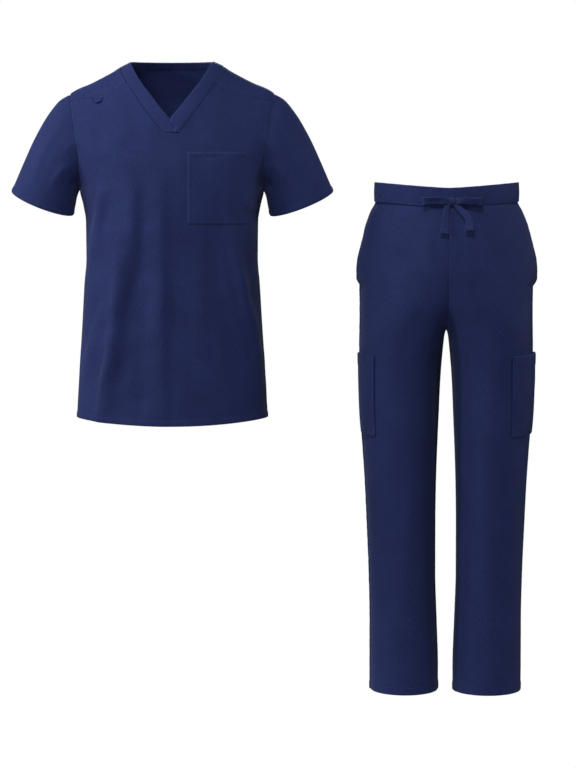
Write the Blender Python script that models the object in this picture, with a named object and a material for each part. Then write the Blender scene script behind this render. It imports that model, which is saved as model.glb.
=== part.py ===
"""Medical scrubs: a V-neck top and drawstring cargo trousers, filled out and hollow, side by side.

Metres, +Z up, the front towards -Y. The origin lies between the top's shoulders, level with its neck.
Left and right are the wearer's own, so the wearer's left is +X. A "drop" is a distance below the
garment's own top: the neck of the top, or the sides of the waist. Each sewn piece is a wall of cloth
on a surface worked out from the tables, and it stops half a seam gap short of each seam.
"""

import math
from collections import namedtuple

import bmesh
import bpy
from mathutils import Vector

# Cloth
WALL = 0.0018
BAND_WALL = 0.0030
SEAM_GAP = 0.0003
LAY_GAP = 0.0005
NAVY = (0.030, 0.042, 0.130, 1.0)
TAPE_NAVY = (0.024, 0.034, 0.108, 1.0)
CLOTH_ROUGHNESS = 0.85

# Where each garment hangs
TOP_AT = (0.0, 0.0, 0.0)
TROUSERS_AT = (0.5607, 0.0, -0.246)

FRONT, BACK = -1, 1
LEFT, RIGHT = 1, -1
STEP = 0.004
QUARTER = math.pi / 2
UP, ACROSS = Vector((0, 0, 1)), Vector((1, 0, 0))

# The top: half its width, and how far its front and back stand from the side seams, by drop.
# Down to the underarm the half width is that of the armhole seam.
Girth = namedtuple("Girth", "drop half_width front back")
TORSO = [
    Girth(0.067, 0.2081, 0.105, 0.100),
    Girth(0.084, 0.2048, 0.108, 0.103),
    Girth(0.150, 0.1940, 0.114, 0.110),
    Girth(0.211, 0.1865, 0.120, 0.115),
    Girth(0.258, 0.1865, 0.124, 0.116),
    Girth(0.291, 0.1795, 0.125, 0.115),
    Girth(0.325, 0.1742, 0.125, 0.112),
    Girth(0.400, 0.1735, 0.121, 0.105),
    Girth(0.451, 0.1773, 0.119, 0.104),
    Girth(0.540, 0.1827, 0.118, 0.109),
    Girth(0.636, 0.1888, 0.119, 0.114),
    Girth(0.740, 0.1945, 0.121, 0.118),
]
ROUNDNESS = 2.2
UNDERARM = 0.258
ARMHOLE_MIDDLE = 0.164
ARMHOLE_DEPTH = {FRONT: 0.066, BACK: 0.078}
ARMHOLE_POWER = 0.7
CHEST_LINE = 0.220
SLOPE_POWER = {FRONT: 1.15, BACK: 1.7}
HEM_DROP, HEM_DIP = 0.724, 0.013

# The shoulder ridge, the seam on the front of the shoulder, and the seam round the back of the neck
Line = namedtuple("Line", "x drop")
RIDGE = [
    Line(0.000, -0.040),
    Line(0.045, -0.026),
    Line(0.084, -0.002),
    Line(0.1005, 0.0082),
    Line(0.119, 0.0205),
    Line(0.1415, 0.0328),
    Line(0.166, 0.0451),
    Line(0.195, 0.0574),
    Line(0.2081, 0.0670),
]
SHOULDER_SEAM = [
    Line(0.0886, 0.0453),
    Line(0.105, 0.0564),
    Line(0.137, 0.0687),
    Line(0.160, 0.0748),
    Line(0.2048, 0.0840),
]
BACK_NECK_DROP = 0.0106

# The neck band from the foot of the V to the shoulder ridge: its sewn edge and its free edge
Station = namedtuple("Station", "sewn_x sewn_drop free_x free_drop")
NECK = [
    Station(0.0164, 0.1455, 0.0000, 0.1213),
    Station(0.0440, 0.1090, 0.0240, 0.0905),
    Station(0.0600, 0.0880, 0.0390, 0.0705),
    Station(0.0770, 0.0625, 0.0560, 0.0485),
    Station(0.0886, 0.0453, 0.0665, 0.0330),
    Station(0.1015, 0.0210, 0.0790, 0.0110),
    Station(0.1045, 0.0106, 0.0845, -0.0017),
]
SEAM_STATION = 4
# The right band laps over the centre with a squared end, and the left band stops at its edge.
OVERLAP_END = [Station(0.0164, 0.1455, -0.0103, 0.1455), Station(0.0250, 0.1343, -0.0103, 0.1345)]
UNDERLAP_END = [
    Station(0.0164, 0.1455, 0.0107, 0.1455),
    Station(0.0250, 0.1343, 0.0107, 0.1353),
    Station(0.0300, 0.1277, 0.0004, 0.1218),
]
NECK_HEIGHT_BACK = 0.0024
NECK_REACH_BACK = 0.054
NECK_LEVELLING = 2.5

# The sleeve's sections, from the armhole to the cuff: the ends of each in the front view, and how far
# it stands from them to the front and the back
Ring = namedtuple("Ring", "along outer_x outer_drop inner_x inner_drop front back")
SLEEVE = [
    Ring(0.00, 0.2081, 0.0670, 0.1865, 0.2580, 0.066, 0.078),
    Ring(0.18, 0.2270, 0.0780, 0.1905, 0.2655, 0.066, 0.074),
    Ring(0.38, 0.2511, 0.1066, 0.1942, 0.2760, 0.064, 0.069),
    Ring(0.60, 0.2798, 0.1558, 0.1968, 0.2900, 0.060, 0.063),
    Ring(0.80, 0.3024, 0.2050, 0.1992, 0.3015, 0.056, 0.058),
    Ring(1.00, 0.3270, 0.2624, 0.2019, 0.3116, 0.053, 0.054),
]
CUFF_DIP = {FRONT: 0.0115, BACK: 0.004}
SLEEVE_ROWS = 7
# The sleeve shares the body's normals along the armhole where the two run alike
LEAST_ALIKE, ALIKE = 0.2, 0.6

# The largest folds of the cloth: where each starts and ends, its half width and how far it stands out
Fold = namedtuple("Fold", "x_top drop_top x_foot drop_foot width height")
TOP_FOLDS = {
    FRONT: [
        Fold(-0.099, 0.330, -0.143, 0.735, 0.020, 0.0055),
        Fold(-0.045, 0.400, -0.070, 0.735, 0.020, -0.0040),
        Fold(0.128, 0.380, 0.172, 0.720, 0.018, 0.0050),
        Fold(0.060, 0.420, 0.075, 0.735, 0.024, 0.0035),
    ],
    BACK: [
        Fold(-0.110, 0.300, -0.135, 0.735, 0.020, 0.0050),
        Fold(-0.020, 0.340, -0.035, 0.735, 0.024, -0.0040),
        Fold(0.095, 0.320, 0.130, 0.735, 0.020, 0.0050),
    ],
}

# Chest pocket and hanging loop, in the front view
POCKET_SIDES = (0.0338, 0.1548)
POCKET_DROPS = (0.1866, 0.3300)
POCKET_COLUMNS, POCKET_ROWS = 16, 10
POCKET_LAY = 0.0017
LOOP_SIDES = (-0.1600, -0.1390)
LOOP_DROP, LOOP_SAG, LOOP_REACH, LOOP_TAPE = 0.0740, 0.0045, 0.0060, 0.0042
LOOP_STEPS = 10

# One leg: the side seam, the inner edge, and how far the front and back stand out. Above the crotch
# the inner edge is where the leg's round would end beyond the middle, which the centre seams cut off.
Leg = namedtuple("Leg", "drop outer inner front back")
LEG = [
    Leg(0.000, 0.1445, -0.1445, 0.1045, 0.1065),
    Leg(0.038, 0.1432, -0.1432, 0.1050, 0.1070),
    Leg(0.060, 0.1532, -0.1532, 0.1090, 0.1130),
    Leg(0.094, 0.1650, -0.1650, 0.1145, 0.1225),
    Leg(0.148, 0.1745, -0.1700, 0.1200, 0.1310),
    Leg(0.180, 0.1765, -0.1500, 0.1220, 0.1340),
    Leg(0.217, 0.1755, -0.1030, 0.1210, 0.1340),
    Leg(0.250, 0.1750, -0.0550, 0.1190, 0.1310),
    Leg(0.275, 0.1750, -0.0185, 0.1160, 0.1270),
    Leg(0.290, 0.1752, -0.0036, 0.1140, 0.1240),
    Leg(0.297, 0.1753, 0.0002, 0.1130, 0.1220),
    Leg(0.328, 0.1758, 0.0055, 0.1080, 0.1160),
    Leg(0.400, 0.1752, 0.0130, 0.1000, 0.1050),
    Leg(0.476, 0.1732, 0.0164, 0.0940, 0.0960),
    Leg(0.549, 0.1681, 0.0195, 0.0880, 0.0900),
    Leg(0.611, 0.1640, 0.0215, 0.0830, 0.0850),
    Leg(0.697, 0.1599, 0.0226, 0.0780, 0.0800),
    Leg(0.795, 0.1558, 0.0226, 0.0745, 0.0755),
    Leg(0.894, 0.1537, 0.0195, 0.0730, 0.0730),
    Leg(0.992, 0.1537, 0.0164, 0.0730, 0.0730),
    Leg(1.060, 0.1527, 0.0164, 0.0735, 0.0735),
]
CROTCH = 0.297
LEG_HEM, LEG_HEM_DIP = 1.040, 0.004
LEG_COLUMNS, HIP_ROWS, LEG_ROWS = 12, 9, 11
# How the columns close up on the centre seams: their spacing there, as a share of the mean
CLOSING = 0.5
LEG_FOLDS = {
    FRONT: [
        Fold(0.050, 0.250, 0.110, 0.400, 0.014, -0.0035),
        Fold(0.070, 0.500, 0.085, 0.900, 0.018, 0.0030),
    ],
    BACK: [
        Fold(0.045, 0.255, 0.110, 0.420, 0.014, -0.0040),
        Fold(0.100, 0.560, 0.080, 0.680, 0.018, -0.0040),
    ],
}

# The side pocket's mouth, where the front panel stands off the hip behind it
MOUTH = [
    Line(0.0000, 0.050),
    Line(0.0020, 0.105),
    Line(0.0045, 0.135),
    Line(0.0075, 0.158),
    Line(0.0080, 0.180),
]
MOUTH_FOOT, MOUTH_CLOSING = 0.2103, 0.012
MOUTH_FADE = math.radians(42)
FACING_COLUMNS = range(-1, 5)
FACING_ROWS = range(8)

# Waistband
BAND_HEIGHT, BAND_DIP, BAND_DIP_POWER = 0.038, 0.0120, 1.3
BAND_TOP = (0.1445, 0.1050)
BAND_FOOT = (0.1462, 0.1075)
BAND_COLUMNS, BAND_ROWS = 20, 3

# Cargo pockets: where each edge lies round the thigh from the side seam, positive to the front
Cargo = namedtuple("Cargo", "front back")
CARGO_ANGLES = {RIGHT: Cargo(48.5, -50.0), LEFT: Cargo(64.0, -35.0)}
CARGO_DROPS = (0.3465, 0.5110)
CARGO_SLANT = 0.0050
CARGO_LAY, CARGO_PUFF, CARGO_GAPE = 0.0009, 0.0020, 0.0025
CARGO_COLUMNS, CARGO_ROWS = 14, 8

# Drawstring: flat tape tied in a bow on the front of the waistband, in the trousers' own place
TAPE_WIDTH, TAPE_THICK = 0.0165, 0.0012
BOW_DROP = 0.0380
KNOT_SIZE = (0.0110, 0.0060, 0.0150)
KNOT_BEVEL = 0.0018
KNOT_X = 0.0050
LOOP_SAMPLES, TAIL_SAMPLES = 16, 8
# Each turn of the tape: y is from the waistband's face
Turn = namedtuple("Turn", "x y drop")
BAND_FACE = -BAND_FOOT[1]
LOOPS = {
    RIGHT: [
        Turn(-0.0010, -0.0070, 0.0375),
        Turn(-0.0150, -0.0085, 0.0365),
        Turn(-0.0350, -0.0095, 0.0370),
        Turn(-0.0500, -0.0078, 0.0378),
        Turn(-0.0530, -0.0048, 0.0380),
        Turn(-0.0490, -0.0022, 0.0380),
        Turn(-0.0330, -0.0018, 0.0378),
        Turn(-0.0150, -0.0018, 0.0375),
        Turn(-0.0010, -0.0018, 0.0375),
    ],
    LEFT: [
        Turn(0.0110, -0.0070, 0.0375),
        Turn(0.0250, -0.0090, 0.0370),
        Turn(0.0450, -0.0095, 0.0378),
        Turn(0.0600, -0.0080, 0.0385),
        Turn(0.0640, -0.0050, 0.0388),
        Turn(0.0600, -0.0022, 0.0386),
        Turn(0.0440, -0.0018, 0.0382),
        Turn(0.0250, -0.0018, 0.0378),
        Turn(0.0110, -0.0018, 0.0375),
    ],
}
TAILS = {
    RIGHT: [
        Turn(-0.0040, -0.0040, 0.0462),
        Turn(-0.0060, -0.0062, 0.0560),
        Turn(-0.0075, -0.0080, 0.0700),
        Turn(-0.0085, -0.0090, 0.0860),
        Turn(-0.0105, -0.0100, 0.1040),
    ],
    LEFT: [
        Turn(0.0135, -0.0040, 0.0462),
        Turn(0.0250, -0.0066, 0.0560),
        Turn(0.0370, -0.0084, 0.0680),
        Turn(0.0415, -0.0096, 0.0820),
        Turn(0.0412, -0.0104, 0.0985),
    ],
}


def lerp(a, b, t):
    return a + (b - a) * t


def smooth_curve(points):
    """A function that runs smoothly through (x, y) points, never past them, and level outside them."""
    xs = [x for x, _ in points]
    ys = [y for _, y in points]
    rises = [(y1 - y0) / (x1 - x0) for x0, x1, y0, y1 in zip(xs, xs[1:], ys, ys[1:])]
    slopes = [rises[0]]
    slopes += [2 * a * b / (a + b) if a * b > 0 else 0.0 for a, b in zip(rises, rises[1:])]
    slopes += [rises[-1]]

    def value(x):
        if x <= xs[0]:
            return ys[0]
        if x >= xs[-1]:
            return ys[-1]
        i = max(k for k in range(len(xs) - 1) if xs[k] <= x)
        width = xs[i + 1] - xs[i]
        t = (x - xs[i]) / width
        start, end = ys[i] * (1 + 2 * t) * (1 - t) ** 2, ys[i + 1] * t * t * (3 - 2 * t)
        return start + end + width * t * (1 - t) * (slopes[i] * (1 - t) - slopes[i + 1] * t)

    return value


def column(rows, name, key="drop"):
    """One column of a table as a smooth function of another."""
    return smooth_curve([(getattr(row, key), getattr(row, name)) for row in rows])


half_width = column(TORSO, "half_width")
torso_depth = {FRONT: column(TORSO, "front"), BACK: column(TORSO, "back")}
ridge_drop = column(RIDGE, "drop", "x")
shoulder_seam_drop = column(SHOULDER_SEAM, "drop", "x")
leg_outer = column(LEG, "outer")
leg_inner = column(LEG, "inner")
leg_depth = {FRONT: column(LEG, "front"), BACK: column(LEG, "back")}
mouth_reach = column(MOUTH, "x", "drop")
sleeve_curves = [column(SLEEVE, name, "along") for name in Ring._fields[1:]]


def relief(folds, x, drop):
    """How far the folds lift the cloth at this place in the front view."""
    lift = 0.0
    for fold in folds:
        t = (drop - fold.drop_top) / (fold.drop_foot - fold.drop_top)
        if 0 < t < 1:
            aside = (x - lerp(fold.x_top, fold.x_foot, t)) / fold.width
            lift += fold.height * math.sin(math.pi * t ** 0.8) * math.exp(-aside * aside)
    return lift


# --- walls of cloth ---


def trim_border(bm, amount):
    """Draws the open border of a surface in by the same amount all round."""
    shifts = {}
    for vert in bm.verts:
        inward = []
        for edge in vert.link_edges:
            if not edge.is_boundary:
                continue
            along = (edge.verts[1].co - edge.verts[0].co).normalized()
            across = edge.link_faces[0].calc_center_median() - vert.co
            inward.append((across - along * across.dot(along)).normalized())
        if len(inward) == 2:
            first, second = inward
            shifts[vert] = (first + second) * (amount / (1 + max(first.dot(second), -0.5)))
    for vert, shift in shifts.items():
        vert.co += shift


def splits_from_first(corners):
    """Whether the shorter diagonal of a grid's cell runs from its first corner to its last."""
    return (corners[3] - corners[0]).length <= (corners[2] - corners[1]).length


def split_cells(verts, faces):
    """Splits each cell of a grid along its shorter diagonal."""
    order = {vert: k for k, vert in enumerate(verts)}
    for face in faces:
        corners = sorted(face.verts, key=order.get)
        if splits_from_first([corner.co for corner in corners]):
            bmesh.utils.face_split(face, corners[0], corners[3])
        else:
            bmesh.utils.face_split(face, corners[1], corners[2])


def cloth(name, patches, parent, wall=WALL, colour=NAVY):
    """A closed wall of cloth on grids of (point, outward normal), welded where grids share points."""
    bm = bmesh.new()
    inward = bm.verts.layers.float_vector.new("inward")
    for grid in patches:
        spots = [spot for row in grid for spot in row]
        made = bmesh.ops.create_grid(
            bm, x_segments=len(grid[0]) - 1, y_segments=len(grid) - 1, size=1.0
        )
        for vert, (point, normal) in zip(made["verts"], spots):
            vert.co = point
            vert[inward] = -wall * normal
        split_cells(made["verts"], {face for vert in made["verts"] for face in vert.link_faces})
    bmesh.ops.remove_doubles(bm, verts=bm.verts, dist=1e-6)
    trim_border(bm, SEAM_GAP / 2)
    made = bmesh.ops.extrude_face_region(bm, geom=bm.faces[:], use_keep_orig=True)
    for vert in made["geom"]:
        if isinstance(vert, bmesh.types.BMVert):
            vert.co += Vector(vert[inward])
    bmesh.ops.recalc_face_normals(bm, faces=bm.faces)
    return add_mesh(name, bm, parent, colour)


def cloth_material(name, colour):
    material = bpy.data.materials.new(name)
    material.use_nodes = True
    shader = material.node_tree.nodes["Principled BSDF"]
    shader.inputs["Base Color"].default_value = colour
    shader.inputs["Roughness"].default_value = CLOTH_ROUGHNESS
    shader.inputs["Metallic"].default_value = 0.0
    return material


def add_mesh(name, bm, parent, colour):
    mesh = bpy.data.meshes.new(name)
    bm.to_mesh(mesh)
    bm.free()
    mesh.shade_smooth()
    mesh.set_sharp_from_angle(angle=math.radians(50))
    mesh.materials.append(cloth_material(name, colour))
    obj = bpy.data.objects.new(name, mesh)
    obj.parent = parent
    bpy.context.scene.collection.objects.link(obj)
    return obj


def garment(name, place):
    empty = bpy.data.objects.new(name, None)
    empty.location = place
    bpy.context.scene.collection.objects.link(empty)
    return empty


def surface_normal(surface, u, v, u_range, centre):
    """The outward normal of a surface, from short steps over it that stay inside the range of u."""
    low, high = max(u - STEP, u_range[0]), min(u + STEP, u_range[1])
    normal = (surface(high, v) - surface(low, v)).cross(surface(u, v + STEP) - surface(u, v - STEP))
    normal.normalize()
    return normal if normal.dot(surface(u, v) - centre) > 0 else -normal


def grid_normals(points, wrap, centre_of):
    """Spots of (point, normal) for a grid of points, each normal from the neighbours."""
    rows, columns = len(points), len(points[0])
    spots = []
    for i in range(rows):
        row = []
        for j in range(columns):
            up, down = points[min(i + 1, rows - 1)][j], points[max(i - 1, 0)][j]
            if wrap:
                fore, aft = points[i][(j + 1) % (columns - 1)], points[i][(j - 1) % (columns - 1)]
            else:
                fore, aft = points[i][min(j + 1, columns - 1)], points[i][max(j - 1, 0)]
            normal = (fore - aft).cross(up - down).normalized()
            if normal.dot(points[i][j] - centre_of(i)) < 0:
                normal = -normal
            row.append((points[i][j], normal))
        spots.append(row)
    return spots


# --- the top's body ---
# A place on it is (turn, rise, side): turn runs from -90 to 90 degrees between the side seams or
# armholes, rise from -1 at the hem, through 0 level with the underarm, to 1 on the shoulder ridge.


def chest_drop(fraction):
    return lerp(CHEST_LINE, ARMHOLE_MIDDLE, fraction**2)


def hem_drop(fraction):
    return HEM_DROP + HEM_DIP * (1 - fraction**2)


def torso_level(fraction, rise, side):
    """The drop at this rise, and how much the shoulder's slope has drawn the cloth in there."""
    chest = chest_drop(fraction)
    if rise <= 0:
        return lerp(UNDERARM, hem_drop(fraction), -rise), 1.0
    if rise <= 0.5:
        return chest + (UNDERARM - chest) * math.cos(math.pi * rise), 1.0
    climb = math.sin(math.pi * (rise - 0.5))
    drop = chest
    for _ in range(6):
        drop = lerp(chest, ridge_drop(fraction * half_width(drop)), climb)
    return drop, math.sqrt(max(0.0, 1 - climb ** SLOPE_POWER[side]))


def torso_base(turn, rise, side):
    if rise > 1:
        rise, side = 2 - rise, -side
    across = math.sin(turn)
    fraction = abs(across)
    drop, drawn_in = torso_level(fraction, rise, side)
    girth_drop = max(drop, chest_drop(fraction))
    depth = torso_depth[side](girth_drop)
    down = min(1.0, (girth_drop - ARMHOLE_MIDDLE) / (UNDERARM - ARMHOLE_MIDDLE))
    edge = ARMHOLE_DEPTH[side] * max(0.0, 1 - down * down) ** ARMHOLE_POWER
    rest = 1 - (edge / depth) ** ROUNDNESS
    out = depth * max(0.0, 1 - rest * fraction**ROUNDNESS) ** (1 / ROUNDNESS)
    return Vector((across * half_width(drop), side * out * drawn_in, -drop))


def torso_spot(turn, rise, side, lift=0.0):
    """(point, outward normal) on the top's body, with its folds, moved out by the lift."""
    point = torso_base(turn, rise, side)
    centre = Vector((0.6 * point.x, 0.0, min(point.z, -0.30)))
    normal = surface_normal(
        lambda u, v: torso_base(u, v, side), turn, rise, (-QUARTER, QUARTER), centre
    )
    folds = relief(TOP_FOLDS[side], point.x, -point.z) * (1 - abs(math.sin(turn)) ** 6)
    return point + normal * (folds + lift), normal


def torso_place(x, drop, side):
    """The (turn, rise) of a place given in the front view."""
    fraction = min(1.0, abs(x) / half_width(drop))
    chest = chest_drop(fraction)
    if drop > UNDERARM:
        rise = (UNDERARM - drop) / (hem_drop(fraction) - UNDERARM)
    elif drop > chest:
        rise = math.acos((drop - chest) / (UNDERARM - chest)) / math.pi
    else:
        climb = min(1.0, (chest - drop) / (chest - ridge_drop(abs(x))))
        rise = 0.5 + math.asin(climb) / math.pi
    return math.copysign(math.asin(fraction), x), rise


def torso_at(x, drop, side, lift=0.0):
    return torso_spot(*torso_place(x, drop, side), side, lift)


def seam_rise(turn):
    """The rise of the shoulder seam on the front, at this turn."""
    fraction = math.sin(turn)
    drop = SHOULDER_SEAM[0].drop
    for _ in range(12):
        drop = shoulder_seam_drop(fraction * half_width(drop))
    return torso_place(fraction * half_width(drop), drop, FRONT)[1]


def both_sides(turns):
    """The turns from one armhole to the other, from those of one half."""
    return [-turn for turn in reversed(turns) if turn > 0] + list(turns)


def spread(start, end, steps):
    """The values after the start, up to and with the end, in equal steps."""
    return [lerp(start, end, (i + 1) / steps) for i in range(steps)]


BODY_ROWS, CHEST_ROWS, SIDE_COLUMNS, NECK_COLUMNS = 9, 8, 8, 5
BODY_SPACING = 1.4
Panel = namedtuple("Panel", "grid turns rises")


def body_rises(top):
    """The rises of a column's points: closer together towards the underarm, then even to the top."""
    below = [-((1 - i / BODY_ROWS) ** BODY_SPACING) for i in range(BODY_ROWS + 1)]
    return below + spread(0.0, top, CHEST_ROWS)


def between(values, at):
    """The fractional index at which increasing values reach this one."""
    i = max([k for k in range(len(values) - 1) if values[k] <= at], default=0)
    return i + (at - values[i]) / (values[i + 1] - values[i])


def on_facets(grid, i, j, lift):
    """A spot on a panel's own facets, at a fractional row and column, moved out by the lift."""
    row, col = min(int(i), len(grid) - 2), min(int(j), len(grid[0]) - 2)
    down, along = i - row, j - col
    cell = [grid[row][col], grid[row][col + 1], grid[row + 1][col], grid[row + 1][col + 1]]
    if splits_from_first([point for point, _ in cell]):
        shares = (1 - max(along, down), max(0.0, along - down), max(0.0, down - along), min(along, down))
    else:
        over = max(0.0, along + down - 1)
        shares = (max(0.0, 1 - along - down), along - over, down - over, over)
    point, normal = (sum((a * share for a, share in zip(part, shares)), Vector()) for part in zip(*cell))
    return point + normal.normalized() * lift, normal.normalized()


def on_front(panel, x, drop, lift):
    """A spot on the front's own facets, at a place given in the front view."""
    turn, rise = torso_place(x, drop, FRONT)
    j = between(panel.turns, turn)
    col = min(int(j), len(panel.turns) - 2)
    rises = [lerp(a, b, j - col) for a, b in zip(panel.rises[col], panel.rises[col + 1])]
    return on_facets(panel.grid, between(rises, rise), j, lift)


def neck_place(station):
    return torso_place(station.sewn_x, station.sewn_drop, FRONT)


def top_front(parent):
    """The front, up to the neck band's seam and the forward shoulder seams."""
    neck = [neck_place(station) for station in NECK[: SEAM_STATION + 1]]
    corner = neck[-1][0]
    columns = [(0.0, torso_place(0.0, NECK[0].sewn_drop, FRONT)[1])] + neck
    columns += [(turn, seam_rise(turn)) for turn in spread(corner, QUARTER, SIDE_COLUMNS)]
    tops = dict(columns)
    turns = both_sides([turn for turn, _ in columns])
    rises = [body_rises(tops[abs(turn)]) for turn in turns]
    grid = [
        [torso_spot(turn, rise[i], FRONT) for turn, rise in zip(turns, rises)]
        for i in range(len(rises[0]))
    ]
    cloth("top_front", [grid], parent)
    return Panel(grid, turns, rises)


def shoulder_turns(first):
    return [first] + spread(first, QUARTER, SIDE_COLUMNS)


def over_shoulder(wearer_side):
    """The back panel's spots from the shoulder ridge down to the seam on the front."""
    patch = [
        [torso_spot(wearer_side * turn, 1.0, BACK) for turn in shoulder_turns(neck_place(NECK[-1])[0])]
    ]
    seam_climb = 1 - neck_place(NECK[SEAM_STATION])[1]
    for station in reversed(NECK[SEAM_STATION:-1]):
        first, rise = neck_place(station)
        part = (1 - rise) / seam_climb
        patch.append(
            [
                torso_spot(wearer_side * turn, 1 - part * (1 - seam_rise(turn)), FRONT)
                for turn in shoulder_turns(first)
            ]
        )
    return patch


def top_back(parent):
    """The back, which comes over each shoulder to the seam on the front. Returns its edges."""
    corner = neck_place(NECK[-1])[0]
    tops = {}
    for turn in [0.0] + spread(0.0, corner, NECK_COLUMNS)[:-1]:
        x = math.sin(turn) * half_width(BACK_NECK_DROP)
        tops[turn] = torso_place(x, BACK_NECK_DROP, BACK)[1]
    turns = both_sides(list(tops) + shoulder_turns(corner))
    rises = [body_rises(tops.get(abs(turn), 1.0)) for turn in turns]
    body = [
        [torso_spot(turn, rise[i], BACK) for turn, rise in zip(turns, rises)]
        for i in range(len(rises[0]))
    ]
    shoulders = [over_shoulder(wearer_side) for wearer_side in (LEFT, RIGHT)]
    cloth("top_back", [body, *shoulders], parent)
    armhole = [row[-1] for row in body[BODY_ROWS:]]
    neck = [body[-1][j][0] for j, turn in enumerate(turns) if abs(turn) <= corner]
    return armhole, [row[-1] for row in shoulders[0]], neck


def ring_line(ring):
    """The middle of a sleeve's ring, and half the line across it in the front view."""
    middle = Vector((ring.outer_x + ring.inner_x, 0, -ring.inner_drop - ring.outer_drop)) / 2
    half = Vector((ring.outer_x - ring.inner_x, 0, ring.inner_drop - ring.outer_drop)) / 2
    return middle, half


def ring_point(along, up, out, side):
    """A point on the left sleeve: how far up its ring's line, and how far out to the front or back."""
    ring = Ring(along, *(curve(along) for curve in sleeve_curves))
    middle, half = ring_line(ring)
    depth = ring.front if side == FRONT else ring.back
    _, cuff = ring_line(SLEEVE[-1])
    down_sleeve = Vector((cuff.z, 0, -cuff.x)).normalized()
    point = middle + half * up + Vector((0, side * depth * out, 0))
    return point + down_sleeve * (CUFF_DIP[side] * out * along**2)


def sleeve(name, armhole, wearer_side, parent):
    """A set-in sleeve, from the armhole's own points to the cuff."""
    middle, half = ring_line(SLEEVE[0])
    aims = []
    for point, _ in armhole:
        up = max(-1.0, min(1.0, (point - middle).dot(half) / half.length_squared))
        aims.append((up, math.sqrt(1 - up * up), FRONT if point.y < 0 else BACK))
    points = []
    for i in range(SLEEVE_ROWS + 1):
        along = i / SLEEVE_ROWS
        row = []
        for (point, _), aim in zip(armhole, aims):
            stray = point - ring_point(0.0, *aim)
            row.append(ring_point(along, *aim) + stray * (1 - along) ** 2)
        points.append(row + row[:1])
    middles = [sum(row[:-1], Vector()) / (len(row) - 1) for row in points]
    grid = grid_normals(points, True, lambda i: middles[i])
    for j, (_, seam_normal) in enumerate(armhole + armhole[:1]):
        point, own = grid[0][j]
        share = max(0.0, min(1.0, (own.dot(seam_normal) - LEAST_ALIKE) / (ALIKE - LEAST_ALIKE)))
        grid[0][j] = (point, own.lerp(seam_normal, share).normalized())
    if wearer_side == RIGHT:
        grid = [[(mirrored(point), mirrored(normal)) for point, normal in row] for row in grid]
    cloth(name, [grid], parent)


def mirrored(vector):
    return Vector((-vector.x, vector.y, vector.z))


def neck_band(name, end, wearer_side, parent):
    """Half of the front neck band, from its end at the foot of the V up to the shoulder ridge."""
    grid = []
    for station in end + NECK[1:]:
        row = []
        for k in range(3):
            x = lerp(station.sewn_x, station.free_x, k / 2)
            drop = lerp(station.sewn_drop, station.free_drop, k / 2)
            if station is NECK[-1]:
                drop = ridge_drop(x)
            row.append(torso_at(wearer_side * x, drop, FRONT))
        grid.append(row)
    cloth(name, [grid], parent)
    return grid[-1]


def back_neck_band(seam, ends, parent):
    """The band that stands up round the back of the neck, between the ends of the front bands."""
    corner = NECK[-1].free_x
    rows = [[], [], []]
    for point in seam:
        around = math.acos(max(-1.0, min(1.0, point.x / seam[-1].x)))
        level = min(1.0, NECK_LEVELLING * math.sin(around))
        height = lerp(-ridge_drop(corner), NECK_HEIGHT_BACK, level)
        top = Vector((corner * math.cos(around), NECK_REACH_BACK * math.sin(around), height))
        for row, part in zip(rows, (0.0, 0.5, 1.0)):
            row.append(point.lerp(top, part))
    grid = grid_normals(rows, False, lambda i: Vector((0, 0, -0.05)))
    for row, right, left in zip(grid, ends[RIGHT], ends[LEFT]):
        row[0], row[-1] = right, left
    cloth("neck_band_back", [grid], parent)


def chest_pocket(front, parent):
    """A patch pocket on the wearer's left, laid on the front's own facets."""
    grid = [
        [
            on_front(
                front,
                lerp(*POCKET_SIDES, j / POCKET_COLUMNS),
                lerp(*POCKET_DROPS, i / POCKET_ROWS),
                POCKET_LAY + WALL,
            )
            for j in range(POCKET_COLUMNS + 1)
        ]
        for i in range(POCKET_ROWS + 1)
    ]
    cloth("chest_pocket", [grid], parent)


def hanging_loop(parent):
    """A short tape whose two ends are sewn into the right shoulder seam, so that it stands out and down."""
    grid = []
    for i in range(LOOP_STEPS + 1):
        swing = math.pi * i / LOOP_STEPS
        x = lerp(*LOOP_SIDES, (1 - math.cos(swing)) / 2)
        drop = LOOP_DROP + LOOP_SAG * math.sin(swing)
        lift = LAY_GAP + TAPE_THICK + LOOP_REACH * math.sin(swing)
        grid.append([torso_at(x, edge, FRONT, lift) for edge in (drop, drop + LOOP_TAPE)])
    cloth("hanging_loop", [grid], parent, wall=TAPE_THICK)


# --- the trousers ---
# A place on a leg is (turn, level): turn 0 on the side seam, 1 on the front's inner seam and -1 on
# the back's; level 0 at the waistband's seam, 1 at the crotch and 2 at the hem.


def leg_reach(drop):
    return (leg_outer(drop) - leg_inner(drop)) / 2


def seam_angle(drop):
    """How far round from the side seam the inner seam lies."""
    return math.acos(max(-1.0, 1 - leg_outer(drop) / leg_reach(drop)))


def leg_angle(turn, drop):
    """How far round from the side seam this turn comes."""
    cut_off = math.pi - seam_angle(drop)
    if cut_off < 1e-6:
        return math.pi * turn
    power = (math.pi - CLOSING * (math.pi - cut_off)) / cut_off
    return math.copysign(math.pi * abs(turn) - cut_off * abs(turn) ** power, turn)


def band_dip(angle):
    return BAND_DIP * (1 - abs(math.cos(angle)) ** BAND_DIP_POWER)


def leg_drop(turn, level):
    """The drop of a level, which runs evenly down the side seam and closes up on the crotch."""
    if level < 1:
        seam = BAND_HEIGHT + band_dip(leg_angle(turn, BAND_HEIGHT))
        return CROTCH - (CROTCH - seam) * (1 - level) ** (1 + turn * turn)
    bottom = LEG_HEM + LEG_HEM_DIP * math.sin(abs(turn) * math.pi)
    return lerp(CROTCH, bottom, level - 1)


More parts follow.
